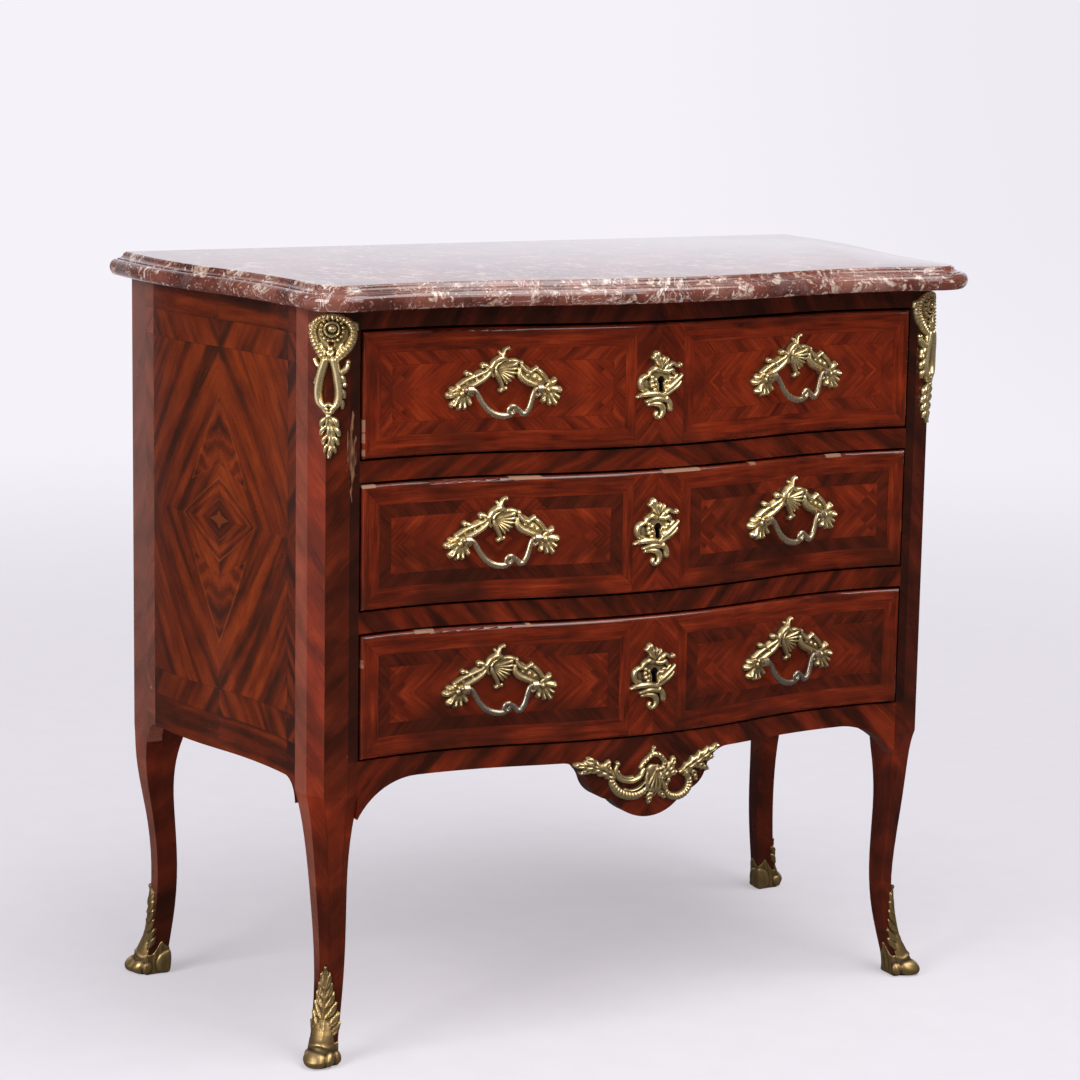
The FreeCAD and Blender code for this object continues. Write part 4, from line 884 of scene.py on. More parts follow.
def handle_casting():
    """Two hollow scrolled arms from a shell cartouche, with a spray of leaves at each end."""
    cast = Casting((-76, -28), (68, 50))
    cast.rods(
        (1.3, (-5.4, 31, 3.4), (-4.2, 37, 2.9), (-2.2, 41, 2.3), (1.3, 42.6, 2.1)),
        (1.3, (-5.4, 32, 2.4), (-7.6, 36, 2), (-8.6, 38.6, 1.7)),
        # cartouche
        (0.22, (-7, 24, 8), (-4, 18, 9), (-1, 12, 7)),
        (1.4, (1.6, 28.6, 2.2), (-2.8, 31.4, 2.9), (-8.1, 32.2, 3.3), (-13.5, 29.2, 3.5),
         (-17.4, 23.6, 3.3), (-18.6, 17.6, 2.9), (-15.8, 13, 2.2)),
        (2.4, (-6.6, 28, 1.5), (-11.4, 25.6, 1.9), (-13.8, 21.6, 2.1)),
        (1.8, (-14, 22.3, 2.2), (-12.6, 16.1, 2.8), (-9.4, 10.5, 2.8), (-6.2, 4.6, 2.5), (-4.6, 0, 2.5)),
        (1.5, (1.3, 29.4, 2), (7.1, 29.4, 2.5), (12.4, 28, 2.4), (15.8, 26, 2)),
        # left arm
        (0.36, (-20, 19, 5.8), (-28, 14, 7.4), (-36, 9.6, 7.7), (-45, 5.6, 7.4), (-53, 1.6, 6.5)),
        (1.5, (-20.6, 22.4, 2.7), (-24.2, 18.6, 3), (-30.4, 16.2, 2.9), (-36.7, 13.6, 2.9),
         (-43.8, 11.2, 2.8), (-50, 8.2, 2.7), (-56, 4.4, 2.6)),
        (1.3, (-19.2, 18.4, 3), (-22.4, 14.6, 3.8), (-27.8, 10.4, 4.2), (-34, 6.8, 4.2), (-42, 2.8, 3.9),
         (-50, -0.7, 3.5)),
        (1.4, (-20.8, 20.6, 2.6), (-23.4, 24.2, 3.1), (-27.2, 25.2, 2.8)),
        (1.4, (-37.2, 12.4, 2.3), (-41.2, 15.4, 2.8), (-45.8, 17, 2.3)),
        (2.2, (-35.8, 11.2, 2.1), (-33.2, 7, 2.3)),
        (2.2, (-28.7, 15.2, 2), (-26.2, 12, 2.2)),
        # right arm
        (0.36, (16, 20, 6.3), (22, 14.4, 7.9), (29, 10.4, 8.1), (37, 6.8, 7.4)),
        (1.3, (13.6, 19.6, 3.2), (14.8, 13.6, 3.9), (19.2, 8.8, 4.3), (25.8, 5.2, 4.2), (33.4, 2, 3.7),
         (39, 0, 3)),
        (1.5, (15.8, 24.4, 2.6), (19.6, 19.6, 3), (25.3, 16.6, 2.9), (29, 18.8, 2.7), (32.4, 20.2, 2.3)),
        (1.5, (32.4, 20.2, 2.6), (37.4, 16.2, 3), (41.9, 11.4, 2.9), (44.4, 7.2, 2.7)),
    )
    cast.beads((1.7, 42.4, 2.4), (-7, -2.4, 3), (-1.4, -0.4, 2.8), (-4.4, -0.6, 3, 1.2), (16, 26.4, 2.9),
               (10.3, 25, 2.3, 1.4), (-27.2, 25, 3.5), (-46.2, 17, 3.1), (-46.4, 6.4, 3, 0.9),
               (-40.4, 8.8, 2.6, 0.9), (-52, -4.6, 3.6, 1.2), (32.6, 20.2, 3.4), (23, 13.4, 3.1, 1),
               (30.2, 11, 3.1, 1), (36.6, 8.4, 3, 1), (45, -3, 3.6, 1.2))
    cast.shell((-11.7, 19.5), -58, 24, (20, 27), 6, 5.8, 0.3)
    # sprays at the ends
    cast.petals((-50, -2.5), (-66.5, -6, 5.8), (-61.9, -16.4, 5.6), (-55.2, -19.4, 5), (-48.6, -19.2, 4.8),
                (-42, -14.8, 5), (-40.2, -6.2, 4.4), (-62.6, -0.6, 5.2), (-55.6, 2, 4.8))
    cast.petals((43, -1), (52.8, 7.2, 5.2), (58.8, -3.2, 5.4), (57, -10.6, 4.6), (53.8, -16.8, 5.2),
                (47.6, -17, 4.6), (41, -14.2, 4.8), (34.4, -8.4, 4.6))
    return cast


def escutcheon_casting():
    """A lopsided frame round the keyhole: shell crest, leaf ear, fluted wing and a curled wave below."""
    cast = Casting((-36, -46), (34, 44))
    cast.rods(
        (0.15, (-8, 8, 7), (-9, 0, 7.5), (-6, -10, 8)),
        (0.15, (7, 9, 7), (8, 0, 7), (4, -10, 8)),
        (0.2, (-3, 14, 8), (0, 22, 7)),
        # crest
        (1.3, (-1.6, 18, 2.6), (-5.4, 24, 3.2), (-9, 29.6, 3)),
        (1.4, (4, 16, 2.6), (7.7, 19.2, 3.4), (13.8, 21.2, 2.4), (19, 18.4, 2.2), (22.4, 18.6, 2.6)),
        # brows over the keyhole
        (1.4, (-16, 10, 2.4), (-14, 13.4, 2.8), (-9, 16.2, 3.2), (-3.6, 14.4, 2.8)),
        (1.4, (1, 13.6, 2.4), (7, 13, 3.2), (12.4, 14.2, 2.8), (14.8, 10.2, 2.2)),
        # ear
        (1.3, (-16.4, 8.4, 2.2), (-20.6, 8, 2.8), (-24.8, 5.6, 3), (-26.2, 0, 3), (-23.8, -5.8, 2.8),
         (-18, -7.6, 2.4)),
        (0.12, (-21, 2, 4), (-18, -3, 4)),
        # wing
        (1.2, (3.6, -9, 3.2), (10, -4.4, 3.8), (17, 0.8, 3.4), (22.6, 5, 2.8), (26, 7.8, 1.8)),
        (1.2, (5, -12.4, 3), (13, -7.6, 3.2), (20, -3.4, 2.8), (24.4, 0.4, 1.8)),
        (1.5, (8, -0.4, 1.8), (14, 4.6, 2.2), (19, 8.6, 1.8)),
        # waves below
        (1.3, (2, -14, 3), (-6, -11.6, 3.8), (-15, -10.8, 3.8), (-23, -11.8, 3), (-28.4, -14.2, 1.8)),
        (1.4, (5, -18.6, 3), (-2, -17.2, 3.6), (-9, -16.6, 3.6), (-17.4, -19.4, 2.4)),
        (1.3, (-15, -23, 2.2), (-9.4, -21.6, 3.2), (-2.6, -23, 3.8), (1.6, -28, 3.6), (0.8, -34, 3.2),
         (-3, -37.6, 2.6), (-6.2, -35, 2.2), (-5.2, -31.6, 2)),
        (1.1, (6, -17, 3.4), (9.8, -22, 3.8), (10.4, -28, 3.8)),
    )
    cast.beads((-6.8, 31.6, 4.4, 0.9), (-10.6, 28.4, 2.6), (22.8, 19, 3), (5.6, -17, 3.6),
               (10.4, -28.4, 3.6))
    cast.shell((-2, 15), 42, 108, (17, 15), 3, 5, 0.4)
    for u, v, radius in ((-12.4, 7, 2.8), (-13, 2, 2.8), (-11.8, -2.6, 2.6), (-8.4, 4.2, 2.5),
                         (-8.2, -1.4, 2.5), (-8.8, -6.6, 2.5), (8.4, 2, 2.6), (7.4, -3.4, 2.5),
                         (11.2, 5.4, 2.6)):
        cast.bead(u, v, radius, 1.1)
    hole = np.hypot(cast.u, cast.v - 3) < 4.2
    slot = (np.abs(cast.u) < 2.7) & (cast.v < 3) & (cast.v > -9.6)
    cast.pierce(hole | slot)
    return cast


def corner_casting():
    """A beaded boss in a gadrooned heart, lyre arms below it and a falling leaf."""
    cast = Casting((-24, -6), (38, 152))
    cast.rods(
        (0.02, (6.4, 14, 17), (6, 24, 15), (4.6, 36, 8)),
        (1.3, (27.6, 7, 2.6), (32, 8.4, 2.6), (33, 13, 2.2)),
        (1.3, (-14.6, 8, 2.4), (-18.4, 9.6, 2.4), (-18.8, 14, 2)),
        (1.3, (-0.6, 45, 4.4), (-3.8, 55, 4.4), (-6.6, 66, 4.2), (-8.2, 79, 4.2), (-6.2, 90, 4),
         (0.6, 97, 3.2)),
        (1.3, (8, 45, 4.6), (10.2, 55, 4.6), (11.8, 66, 4.4), (13.2, 79, 4.4), (11.6, 90, 4.2),
         (6.4, 97, 3.2)),
        (1.4, (-2, 52, 2.2), (-8, 51, 2.8), (-12.6, 45.6, 2.2)),
        (1.3, (10, 59, 2.8), (16.4, 57.6, 3.8), (21.2, 53, 3.2), (22.6, 47.6, 2.2)),
        (1.3, (11, 60, 2.4), (16.4, 64, 3.4), (18.6, 70.6, 2.6)),
        (1.3, (12.4, 74, 2.4), (17.4, 79, 2.8), (18.8, 84, 2)),
        (1.3, (12, 84, 2.4), (16.4, 89.6, 2.6), (16.8, 95, 1.8)),
        (1.4, (-5.4, 64, 2.2), (-9.6, 64.6, 2.6), (-11.4, 69.6, 2)),
        (1.3, (-7.2, 80, 2), (-10.4, 84.6, 2.2), (-10.4, 89.6, 1.6)),
        (1.6, (-3, 96, 2.4), (2.6, 92, 2.6), (8.2, 96, 2.4), (2.8, 101, 2.6), (-3, 96, 2.4)),
    )
    cast.leaves(
        (3, 4, (4.6, 46, 3.6), (4.4, 38, 4.6), (4.6, 30, 2.4)),
        (3, 3.2, (2, 46, 2.8), (-2.6, 37, 3.6), (-5.6, 28, 2)),
        (3, 3.2, (7.6, 46, 2.8), (13, 37, 3.6), (16.6, 28, 2)),
        (4, 3.6, (2.8, 106, 3.6), (4, 114, 5), (5.4, 124, 5), (5.6, 134, 4), (4.4, 142, 3), (3, 148, 1.8)),
    )
    cast.beads((6.2, 12, 4.6, 1.1), (19, 71, 3, 1.2), (-11.2, 69.4, 2.6, 1.2), (-12.4, 45.4, 2.6),
               (22.6, 47.4, 2.7), (2.8, 104, 3.4, 1.1))
    cast.rod([(5, -1, 3), (-4.6, 1.2, 3.6), (-12.4, 7, 4.2), (-15.6, 16, 4.8), (-13, 26, 5), (-7, 36, 4.8),
              (-0.6, 45, 4)], 1.05, 0.3, 4.2)
    cast.rod([(5, -1, 3), (15.6, 1, 3.6), (24.4, 6.6, 4.2), (29, 15.6, 4.8), (26.4, 26, 5.2),
              (18.6, 36, 5), (9, 45, 4.2)], 1.05, 0.3, 4.2)
    for k in range(15):
        turn = 2 * math.pi * k / 15 + 0.2
        cast.bead(6 + 11.4 * math.cos(turn), 13.6 + 11.8 * math.sin(turn), 2.1, 1.4)
    ring = [k * math.pi / 6 for k in range(13)]
    cast.rod([(6 + 7 * math.cos(turn), 13 + 7.2 * math.sin(turn), 1.6) for turn in ring], 2.6)
    for u, v, wide in ((11.6, 112.6, 3.2), (13.6, 122, 3), (12.4, 131.6, 2.6), (9.6, 140, 2.2),
                       (-5, 112, 3.2), (-5.4, 121, 3), (-3.4, 131, 2.6), (-1.4, 140, 2.2)):
        cast.rod([(u * 0.4 + 2.4, v - 6, wide * 0.7), (u * 0.8 + 0.8, v - 2.6, wide),
                  (u, v + 2, wide * 0.7)], 1.2)
    cast.pierce((np.abs(cast.u - 5.2) < 2.6) & (np.abs(cast.v - 28.4) < 2))
    return cast


def apron_casting():
    """Two C-scrolls and leaf wings about a fluted cartouche."""
    cast = Casting((-100, 8), (98, 86))
    cast.rods(
        (1.3, (2.6, 70, 2.2), (3.4, 75, 2), (4.4, 78.6, 1.8)),
        # cartouche
        (0.3, (2, 52, 8), (5, 42, 10), (3, 30, 8)),
        (1.6, (-4.6, 50, 2.2), (-5.6, 42, 2.6), (-3.4, 32, 2.4)),
        (1.6, (12.4, 46, 2), (12, 38, 2.6), (8.4, 30, 2.4)),
        # left scrolls
        (1.3, (-41, 64, 2.4), (-43.6, 58, 2.8), (-42, 51, 3.2), (-35, 45.8, 3.4), (-23.6, 43.6, 3.4),
         (-13.4, 47.4, 3.2), (-8.6, 55, 2.6)),
        (2.4, (-40, 56, 1.4), (-37, 50.6, 1.7), (-30, 47.6, 1.7), (-22, 47.6, 1.5)),
        (2.2, (-32, 35, 1.4), (-24, 32.6, 1.7), (-14.6, 34.6, 1.6), (-7.6, 40, 1.4)),
        # vein of the right wing
        (2, (38, 47, 1.6), (44, 53, 2), (54, 58.6, 2), (64, 64, 1.8), (76, 70, 1.6)),
    )
    cast.leaves(
        (3, 4.4, (2, 32, 4.6), (-0.6, 25, 5.6), (-1.6, 17.4, 3)),
        (3, 3.8, (8, 32, 4), (13.6, 26, 4.6), (18.6, 20.6, 2.6)),
        (4, 4.6, (12, 44, 5), (20, 50, 7.4), (26.4, 57, 6), (30, 63.6, 3.2)),
        (3, 4, (14, 44, 4.4), (24, 46.6, 5.4), (33, 48, 3.2)),
        # left wing
        (5, 4.6, (-46, 50, 5), (-56, 56.6, 7.6), (-67, 62, 8.4), (-78, 65, 6.6), (-91, 66.4, 3)),
        (2, 4.6, (-50, 56, 4), (-54.6, 62.6, 5.4), (-51.6, 67.6, 3)),
        (2, 4.6, (-64, 62, 4), (-71, 68.6, 5.2), (-76.6, 72.6, 2.8)),
        (3, 3.6, (-68, 60, 3.6), (-77, 59, 4.4), (-84.6, 57, 2.4)),
        # right wing
        (5, 4.6, (40, 48, 4), (52, 54, 6.6), (64, 60, 7.4), (76, 65.6, 6.2), (90, 71.6, 3)),
        (3, 4.2, (50, 49, 4), (57, 43.6, 5), (60.6, 36.4, 2.8)),
        (3, 4.2, (58, 54, 4), (68, 50.6, 5), (76.6, 46.6, 2.8)),
        (3, 3.8, (68, 60, 3.6), (77, 58.6, 4.4), (84, 60, 2.6)),
    )
    cast.beads((4.6, 78.4, 2.3), (8.4, 53.4, 3), (-41, 64.4, 3), (-53, 66.6, 3, 1.1),
               (-74, 71.4, 2.6, 1.1), (46.2, 45.2, 4.6, 0.9), (23.4, 39.8, 3))
    cast.rod([(-12, 57, 2.2), (-8, 63, 2.8), (-2.4, 67.8, 3), (3.4, 71.4, 3.2), (11.8, 69, 3.4),
              (17.6, 62, 3.2), (15.6, 54.6, 2.8), (8.4, 53, 2.2)], 1.35, 0.18, 4.5)
    cast.shell((8, 56), -128, -62, (28, 30), 5, 5.6, 0.5)
    cast.rod([(-48, 52, 3), (-46.4, 42, 4.6), (-38, 31.6, 5.4), (-24.6, 26.6, 5.4), (-11.8, 28.4, 4.6),
              (-3, 35, 3)], 0.95, 0.16, 4.2)
    cast.rod([(23.4, 39.6, 2.6), (19.6, 30.6, 3.4), (25.6, 22, 4.2), (38, 19.6, 4.6), (48.8, 26, 4.6),
              (51.4, 36.6, 4.2), (46.6, 45, 3.2)], 1.05, 0.2, 3.8)
    return cast


def bronze_mounts():
    handle = handle_casting()
    lock = escutcheon_casting()
    for drawer, low in DRAWER_LOWS.items():
        gilding = DULL_GILT if drawer == "lower" else GILT
        body = drawer + "_drawer"
        plates = []
        for side, offset in PLATE_OFFSETS.items():
            bend = on_front(side * HANDLE_REACH + offset, low + HANDLE_RISE, DRAWER_PROUD)
            plates.append(handle.cast("plate", bend, 1.45))
        plates = joined(drawer + "_handle_castings", plates)
        settle(plates, gilding, "gilt_bronze", body, drawer + "_handle_plates")
        bend = on_front(0.0, low + KEYHOLE_RISE, DRAWER_PROUD)
        plate = lock.cast(drawer + "_escutcheon_casting", bend, 1.4)
        settle(plate, gilding, "gilt_bronze", body, drawer + "_escutcheon")
    corner = corner_casting()
    for place, side in SIDES.items():
        mount = corner.cast("corner_casting_" + place, on_corner(side), 1.3)
        # one of the two comes out of the bend inside out
        if sum(p.normal.dot(p.center) * p.area for p in mount.data.polygons) < 0:
            mount.data.flip_normals()
        settle(mount, GILT, "gilt_bronze", "carcass", "corner_mount_" + place)
    apron = apron_casting().cast("apron_casting", on_front(0.0, APRON_LOW, 0.0), 1.35)
    settle(apron, DULL_GILT, "gilt_bronze", "carcass", "apron_mount")


# Sabots

SABOT_CELL = 0.8
SABOT_TOP = 108.0
SOLE_PROBE = 4.6
RAY_START = 0.12
# Each toe's middle and half width across, its half height and how far it bulges
TOES = ((-4.0, 16.0, 9.0, 6.0), (13.5, 6.5, 8.0, 5.5), (-22.0, 6.5, 7.0, 4.0), (23.0, 6.0, 7.0, 4.0))
TOE_LEVEL = 9.0


def sabot_relief():
    """The sabot drawn flat: round the ankle across, up the leg, with the foot's outer ridge at nought."""
    shoe = Casting((-60, -2), (60, 112), SABOT_CELL)
    shoe.leaf([(0, 32, 17), (0, 44, 18), (0, 58, 15), (0.5, 72, 11.5), (0.5, 85, 8), (0.5, 96, 5.2),
               (0, 107, 2.6)], 6, 1.8, 1.2)
    for height, reach in ((38, 25), (48, 23), (59, 19), (70, 15), (80, 11.5), (90, 8)):
        for way in (-reach, reach):
            shoe.leaf([(way * 0.25, height - 8, 3.4), (way * 0.75, height - 2, 4.6),
                       (way, height + 7, 2.2)], 1, 2.8)
    shoe.rods(
        (1.2, (0, 44, 2.6), (0.5, 70, 2.2), (0.5, 104, 1.7)),
        (0.27, (0, 8, 20), (0, 18, 21), (0, 30, 19), (0, 42, 11)),
        (2.4, (0, 27, 1.8), (0, 46, 1.6)),
    )
    shoe.beads((0.3, 105, 2.6), (0, 26, 2.8))
    shoe.height = spread_out(shoe.height, 1)
    return shoe


def sabot_heights(shoe, turn, level, heel_bulge):
    """Bronze over the foot at one level: cup, leaf and rolled toes."""
    across = turn * ANKLE
    column = np.rint((across - shoe.across[0]) / SABOT_CELL).astype(int)
    column = np.clip(column, 0, len(shoe.across) - 1)
    row = min(int(round((level - shoe.upward[0]) / SABOT_CELL)), len(shoe.upward) - 1)
    front = 22.0 * np.exp(-(turn / 0.85) ** 2)
    back = 18.0 * np.exp(-((np.abs(turn) - 2.2) / 0.6) ** 2)
    rim = 20.0 + front + back
    from_heel = (np.pi - np.abs(turn)) * ANKLE
    flutes = 0.7 * np.cos(11 * turn) * np.clip(np.abs(turn) - 0.9, 0, 1) * np.clip(level / 8.0, 0, 1)
    if heel_bulge:
        flutes = flutes * np.clip(from_heel / 30.0, 0, 1)
        rim = rim + 9.0 * np.exp(-(from_heel / 12.0) ** 2)
    ball = 1 - (from_heel / 22.0) ** 2 - ((level - 14.0) / 15.0) ** 2
    heel = heel_bulge * np.sqrt(np.clip(ball, 0, None))
    cup = 0.9 + 1.6 * np.clip((rim - level) / rim, 0, 1) + flutes
    cup = np.where(level < rim, cup, 0.7 - 3.0 * (level - rim))
    heights = np.maximum(shoe.height[row, column], np.maximum(cup, BURIED))
    before = np.exp(-(turn / 0.8) ** 2)
    brow = 1.8 * np.exp(-((level - 23.0 - 2.0 * np.cos(4 * turn)) / 2.0) ** 2) * before
    slope = 8.0 * np.clip((52.0 - level) / 44.0, 0, 1) ** 2 * before
    toes = np.zeros_like(turn)
    for middle, wide, rise, bulge in TOES:
        round_off = 1 - ((across - middle) / wide) ** 2 - ((level - TOE_LEVEL) / rise) ** 2
        toes = np.maximum(toes, bulge * np.sqrt(np.clip(round_off, 0, None)))
    return heights + brow + slope + np.maximum(toes, heel)


def axis_of(surface, points, level):
    """The middle of a leg at one level, from rays through it along x and y."""
    middle = points[np.argsort(np.abs(points[:, 2] - level))[:12], :2].mean(0) * MM
    for turn in range(3):
        for axis, way in enumerate((Vector((1.0, 0.0, 0.0)), Vector((0.0, 1.0, 0.0)))):
            spot = Vector((middle[0], middle[1], level * MM))
            ends = [surface.ray_cast(spot + sign * way * RAY_START, -sign * way)[0] for sign in (-1, 1)]
            if None not in ends:
                middle[axis] = (ends[0][axis] + ends[1][axis]) / 2
    return middle


def sabot(shoe, leg, splay):
    """Lays the sabot's bronze on one leg, level by level, facing the way the foot turns out."""
    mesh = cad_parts[leg].data
    surface = BVHTree.FromPolygons([v.co.copy() for v in mesh.vertices], [p.vertices[:] for p in mesh.polygons])
    points = corner_points(mesh)
    points = points[points[:, 2] < SABOT_TOP + 2.0]
    levels = np.arange(0.0, SABOT_TOP, SABOT_CELL)
    turns = np.linspace(-np.pi, np.pi, 181)
    way = math.atan2(splay[1], splay[0])
    at_back = splay[1] > 0
    places, heights = [], []
    for level in levels:
        probe = max(level, SOLE_PROBE)
        centre = axis_of(surface, points, probe)
        radius = []
        for turn in turns:
            out = Vector((math.cos(way + turn), math.sin(way + turn), 0.0))
            hit = surface.ray_cast(Vector((*centre, probe * MM)) + out * RAY_START, -out)[0]
            radius.append((hit.xy - Vector(centre)).length / MM)
        bronze = sabot_heights(shoe, turns, level, 4.0 if at_back else 0.0)
        tuck = 3.0 * max(0.0, 1 - level / 3.0) ** 2
        reach = np.maximum(np.array(radius) + bronze - tuck, 1.0)
        x, y = centre / MM
        places.append(np.stack([x + reach * np.cos(way + turns), y + reach * np.sin(way + turns),
                                np.full_like(turns, level)], 1))
        heights.append(bronze)
    heights = np.array(heights)
    # darker towards the floor, most on the front feet; with the hollows, the bronze shows patina and painted
    # shade
    low_darkening = (0.05 if at_back else 0.2) * np.clip((46.0 - levels) / 14.0, 0, 1)[:, None]
    smoothed = spread_out(np.maximum(heights, -0.5), 20)
    hollow = np.clip((smoothed - heights) * 0.5 + 0.12 + low_darkening, 0, 1)
    piece = net_piece("shoe", np.array(places), heights, hollow)
    with editing():
        bpy.ops.mesh.select_mode(type="VERT")
        select_all()
        bpy.ops.mesh.remove_doubles(threshold=0.01 * MM)
        bpy.ops.mesh.normals_make_consistent(inside=False)
        bpy.ops.mesh.select_all(action="DESELECT")
    # the open ring under the foot is filled
    for vertex in piece.data.vertices:
        vertex.select = vertex.co.z < 0.02 * MM
    with editing():
        bpy.ops.mesh.edge_face_add()
        face_outwards()
    return piece


def sabots():
    shoe = sabot_relief()
    for place, splay in (("front", 45.0), ("back", 120.0)):
        turn = math.radians(splay)
        shoes = [sabot(shoe, f"post_{place}_{side}", (sign * math.sin(turn), -math.cos(turn)))
                 for side, sign in SIDES.items()]
        whole = joined(f"{place}_sabot_castings", shoes)
        settle(whole, FOOT_BRONZE, "gilt_bronze", "carcass", "sabots_" + place)


# Bails

# Rows of across, up, outwards and radius, from the line between the posts
BAIL_LINE = (
    (-45.0, 0.0, 0.0, 2.2), (-38.0, 0.0, 0.0, 2.4), (-33.6, -0.8, 0.0, 2.7), (-29.6, -7.0, 0.5, 2.9),
    (-24.8, -15.0, 1.0, 3.2), (-18.0, -22.2, 1.4, 3.5), (-8.0, -27.2, 1.6, 3.7), (2.0, -27.6, 1.6, 3.6),
    (8.4, -24.2, 1.7, 3.1), (11.8, -20.6, 1.9, 2.9), (15.4, -22.8, 1.7, 3.0), (19.8, -26.4, 1.6, 3.3),
    (25.0, -22.6, 1.2, 3.2), (28.6, -14.4, 0.8, 3.0), (31.0, -6.2, 0.4, 2.8), (34.0, -0.8, 0.0, 2.5),
    (38.0, 0.0, 0.0, 2.4), (45.0, 0.0, 0.0, 2.2),
)
BAIL_CURL = (
    (12.2, -20.8, 2.8, 2.5), (8.8, -17.7, 3.4, 2.6), (4.2, -19.0, 3.6, 2.5), (3.0, -23.6, 3.5, 2.3),
    (6.6, -26.2, 3.4, 2.0), (9.6, -23.6, 3.4, 1.6),
)


def bail_wire(points, name):
    """One bent bar as a curve with a round section, swelled where the points say."""
    line = bpy.data.curves.new(name, "CURVE")
    line.dimensions = "3D"
    line.bevel_depth = MM
    line.bevel_resolution = 5
    line.resolution_u = 6
    line.use_fill_caps = True
    spline = line.splines.new("BEZIER")
    spline.bezier_points.add(len(points) - 1)
    for knot, (u, v, w, radius) in zip(spline.bezier_points, points):
        knot.co = (u * MM, v * MM, w * MM)
        knot.handle_left_type = knot.handle_right_type = "AUTO"
        knot.radius = radius
    bar = bpy.data.objects.new(name, line)
    scene.collection.objects.link(bar)
    fresh()
    bar.select_set(True)
    bpy.context.view_layer.objects.active = bar
    bpy.ops.object.convert(target="MESH")
    return bpy.context.view_layer.objects.active


def bails():
    pattern = joined("bail_pattern", [bail_wire(BAIL_LINE, "bail_bar"), bail_wire(BAIL_CURL, "bail_curl")])
    mesh = pattern.data
    points = corner_points(mesh)
    # painted shade: each bar is darker on its side towards the drawer and lighter outwards, with a wave of
    # lighter and darker along it
    keep_hollows(mesh, np.clip(0.24 - 0.08 * points[:, 2] + 0.07 * np.sin(points[:, 0] * 0.5), 0, 1))
    for drawer, low in DRAWER_LOWS.items():
        bronze = DARKER_BAIL_BRONZE if drawer == "lower" else DARK_BRONZE
        for place, side in SIDES.items():
            x = side * HANDLE_REACH
            y, out_x, out_y = [float(n[0]) for n in face_line(np.array([x]), DRAWER_PROUD)]
            out = Vector((out_x, out_y, 0.0))
            across = Vector((-out_y, out_x, 0.0))
            pivot = Vector((x, y, low + HANDLE_RISE)) + out * BAIL_STAND_OFF
            bail = bpy.data.objects.new(f"{drawer}_bail_{place}_bar", mesh.copy())
            scene.collection.objects.link(bail)
            axes = Matrix((across, Vector((0, 0, 1)), out)).transposed().to_4x4()
            bail.data.transform(Matrix.Translation(pivot * MM) @ axes)
            settle(bail, bronze, "dark_bronze", f"{drawer}_bail_{place}", f"{drawer}_bail_{place}")
    bpy.data.objects.remove(pattern)


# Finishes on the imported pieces

def dress(finish, *nodes):
    for node in nodes:
        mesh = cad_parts[node].data
        mesh.materials.clear()
        mesh.materials.append(finish)


def veneer_pieces():
    for drawer, low in DRAWER_LOWS.items():
        dress(drawer_veneer(drawer, low, *DRAWER_TONES[drawer]), drawer + "_drawer_front")
    for rail, setting_out in RAIL_VENEERS.items():
        dress(rail_veneer(*setting_out), rail)
    dress(side_veneer("side_veneer"), "side_panel_left", "side_panel_right")
    dress(post_veneer("front_post_veneer", POST_RIDGE, (0.71, 0.71), POST_STRIP),
          "post_front_left", "post_front_right")
    dress(post_veneer("back_post_veneer", BACK_RIDGE, (0.5, 0.87), 0.0), "post_back_left", "post_back_right")


def hidden_pieces():
    lengthways = oak("oak_along_x", "x")
    depthways = oak("oak_along_y", "y")
    dress(lengthways, "back_panel", "back_rail_top", "back_rail_bottom", "dust_panel_upper",
          "dust_panel_lower", "bottom_board")
    dress(depthways, "runners_upper", "runners_middle", "runners_lower", "kickers")
    for drawer in DRAWER_LOWS:
        dress(depthways, drawer + "_drawer_sides")
        dress(lengthways, drawer + "_drawer_back", drawer + "_drawer_bottom")
        dress(STEEL, drawer + "_lock_case", drawer + "_lock_bolt")
        dress(DARK_BRONZE, drawer + "_handle_posts")


# Studio, in metres

CHEST_MIDDLE = Vector((0.0, 0.0, 0.5))
CAMERA_TURN = (-28.2662, 10.0498, 0.9822)
CAMERA_SPOT = (-1.7239, -3.1433, 1.1604)
FOCAL_LENGTH = 104.91
PAPER_SIZE = 30.0
PAPER_RISE = 9.0
PAPER_BEND = 5.0
PAPER_TURN = math.radians(-28.27)


def lamp(name, spot, size, power):
    light = bpy.data.lights.new(name, "AREA")
    light.size = size
    light.energy = power
    holder = bpy.data.objects.new(name, light)
    holder.location = spot
    holder.rotation_euler = (CHEST_MIDDLE - Vector(spot)).to_track_quat("-Z", "Y").to_euler()
    scene.collection.objects.link(holder)


def paper_shape():
    """Pale paper on the floor, curving up far behind the chest."""
    fresh()
    bpy.ops.mesh.primitive_plane_add(size=PAPER_SIZE)
    sweep = named("paper_sweep")
    mesh = sweep.data

    def select_back(top):
        for edge in mesh.edges:
            ends = [mesh.vertices[k].co for k in edge.vertices]
            edge.select = all(end.y > 10.0 and end.z < top for end in ends)

    with editing():
        bpy.ops.mesh.select_all(action="DESELECT")
    select_back(PAPER_RISE)
    with editing():
        bpy.ops.mesh.select_mode(type="EDGE")
        bpy.ops.mesh.extrude_region_move(TRANSFORM_OT_translate={"value": (0.0, 0.0, PAPER_RISE)})
    select_back(1.0)
    with editing():
        bpy.ops.mesh.bevel(offset=PAPER_BEND, segments=24)
    mesh.transform(Matrix.Rotation(PAPER_TURN, 4, "Z"))
    mesh.shade_smooth()
    return sweep


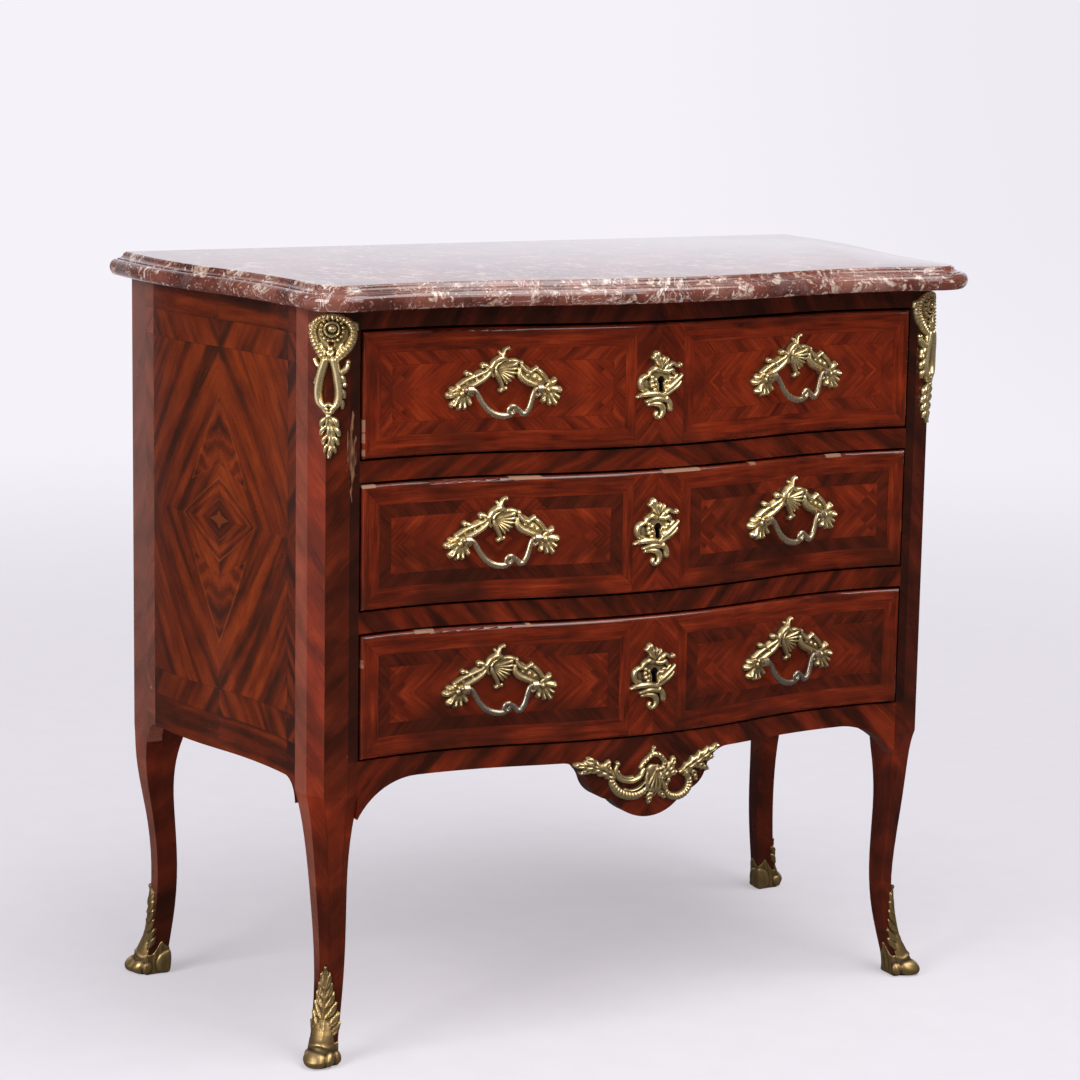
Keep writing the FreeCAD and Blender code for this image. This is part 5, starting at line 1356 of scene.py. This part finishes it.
def paper_sweep():
    """The paper and its finish, which is lit evenly where the camera and mirrors see it far off, save for a
    painted shade far off to the camera's right.
    """
    sweep = paper_shape()
    finish = Finish("pale_paper", {"Roughness": 0.9, "Specular IOR Level": 0.0})
    x, y, z = finish.spot().split()
    dust = finish.noise(finish.spot(), 0.02, 5.0)
    finish.feed("Base Color", dust.ramp(((0.3, (0.69, 0.65, 0.695)), (0.7, (0.72, 0.685, 0.725)))))
    away = (x * x + y * y).sum("SQRT")
    camera, mirrored = finish.rays()
    seen = away.step(450.0, 1000.0) * 0.2 + away.step(1500.0, 4600.0) * 0.38 + 0.42
    seen = camera * seen + (1.0 - camera) * mirrored
    # painted shade: far off towards the camera's right the glow the camera sees dims a little
    falloff = (x * 0.88 - y * 0.474).step(0.0, 2600.0) * away.step(1500.0, 4500.0)
    lit = away.step(700.0, 3000.0) * 0.05 + 0.95 - falloff * 0.07
    room = mirrored_room(x / away, y / away) * away.step(900.0, 2600.0) + 0.07
    shown = camera * lit + (1.0 - camera) * room
    shown = finish.node("VectorMath", {0: (0.92, 0.888, 0.955), "Scale": shown}, operation="SCALE")
    glow = finish.node("Emission", {"Color": shown})
    paper = Value(finish.tree, finish.shader.outputs[0])
    surface = finish.node("MixShader", {0: seen, 1: paper, 2: glow})
    finish.tree.links.new(surface.socket, finish.tree.nodes["Material Output"].inputs["Surface"])
    sweep.data.materials.append(finish.material)


def studio_air():
    """White air for what is seen and mirrored, dimmer towards the room in front, and soft light elsewhere."""
    world = bpy.data.worlds.new("studio_air")
    scene.world = world
    world.use_nodes = True
    air = Nodes(world.node_tree)
    across, ahead, upward = air.node("TexCoord", {}, "Generated").split()
    camera, mirrored = air.rays()
    room = mirrored_room(across, ahead) + upward.step(0.55, 0.9) * 0.6 + 0.08
    strength = camera + (1.0 - camera) * (mirrored * room + (1.0 - mirrored) * 0.30)
    ground = air.tree.nodes["Background"]
    ground.inputs["Color"].default_value = colour(0.92, 0.89, 0.945)
    air.tree.links.new(strength.socket, ground.inputs["Strength"])


def photograph():
    azimuth, pitch, roll = [math.radians(turn) for turn in CAMERA_TURN]
    back = Vector((math.sin(azimuth) * math.cos(pitch), -math.cos(azimuth) * math.cos(pitch), math.sin(pitch)))
    right = Vector((math.cos(azimuth), math.sin(azimuth), 0.0))
    up = back.cross(right)
    across = math.cos(roll) * right + math.sin(roll) * up
    upright = -math.sin(roll) * right + math.cos(roll) * up
    lens = bpy.data.cameras.new("photograph")
    lens.sensor_width = 36.0
    lens.lens = FOCAL_LENGTH
    lens.clip_end = 100.0
    camera = bpy.data.objects.new("photograph", lens)
    scene.collection.objects.link(camera)
    axes = Matrix((across, upright, back)).transposed().to_4x4()
    camera.matrix_world = Matrix.Translation(CAMERA_SPOT) @ axes
    scene.camera = camera


veneer_pieces()
hidden_pieces()
marble_top()
bronze_mounts()
sabots()
bails()
paper_sweep()
studio_air()
lamp("left_softbox", (-3.4, -0.9, 2.2), 2.0, 105.0)
lamp("front_softbox", (0.4, -3.6, 3.0), 2.6, 66.0)
lamp("overhead_softbox", (0.9, -1.25, 3.7), 2.6, 92.0)
photograph()
scene.view_settings.view_transform = "Standard"
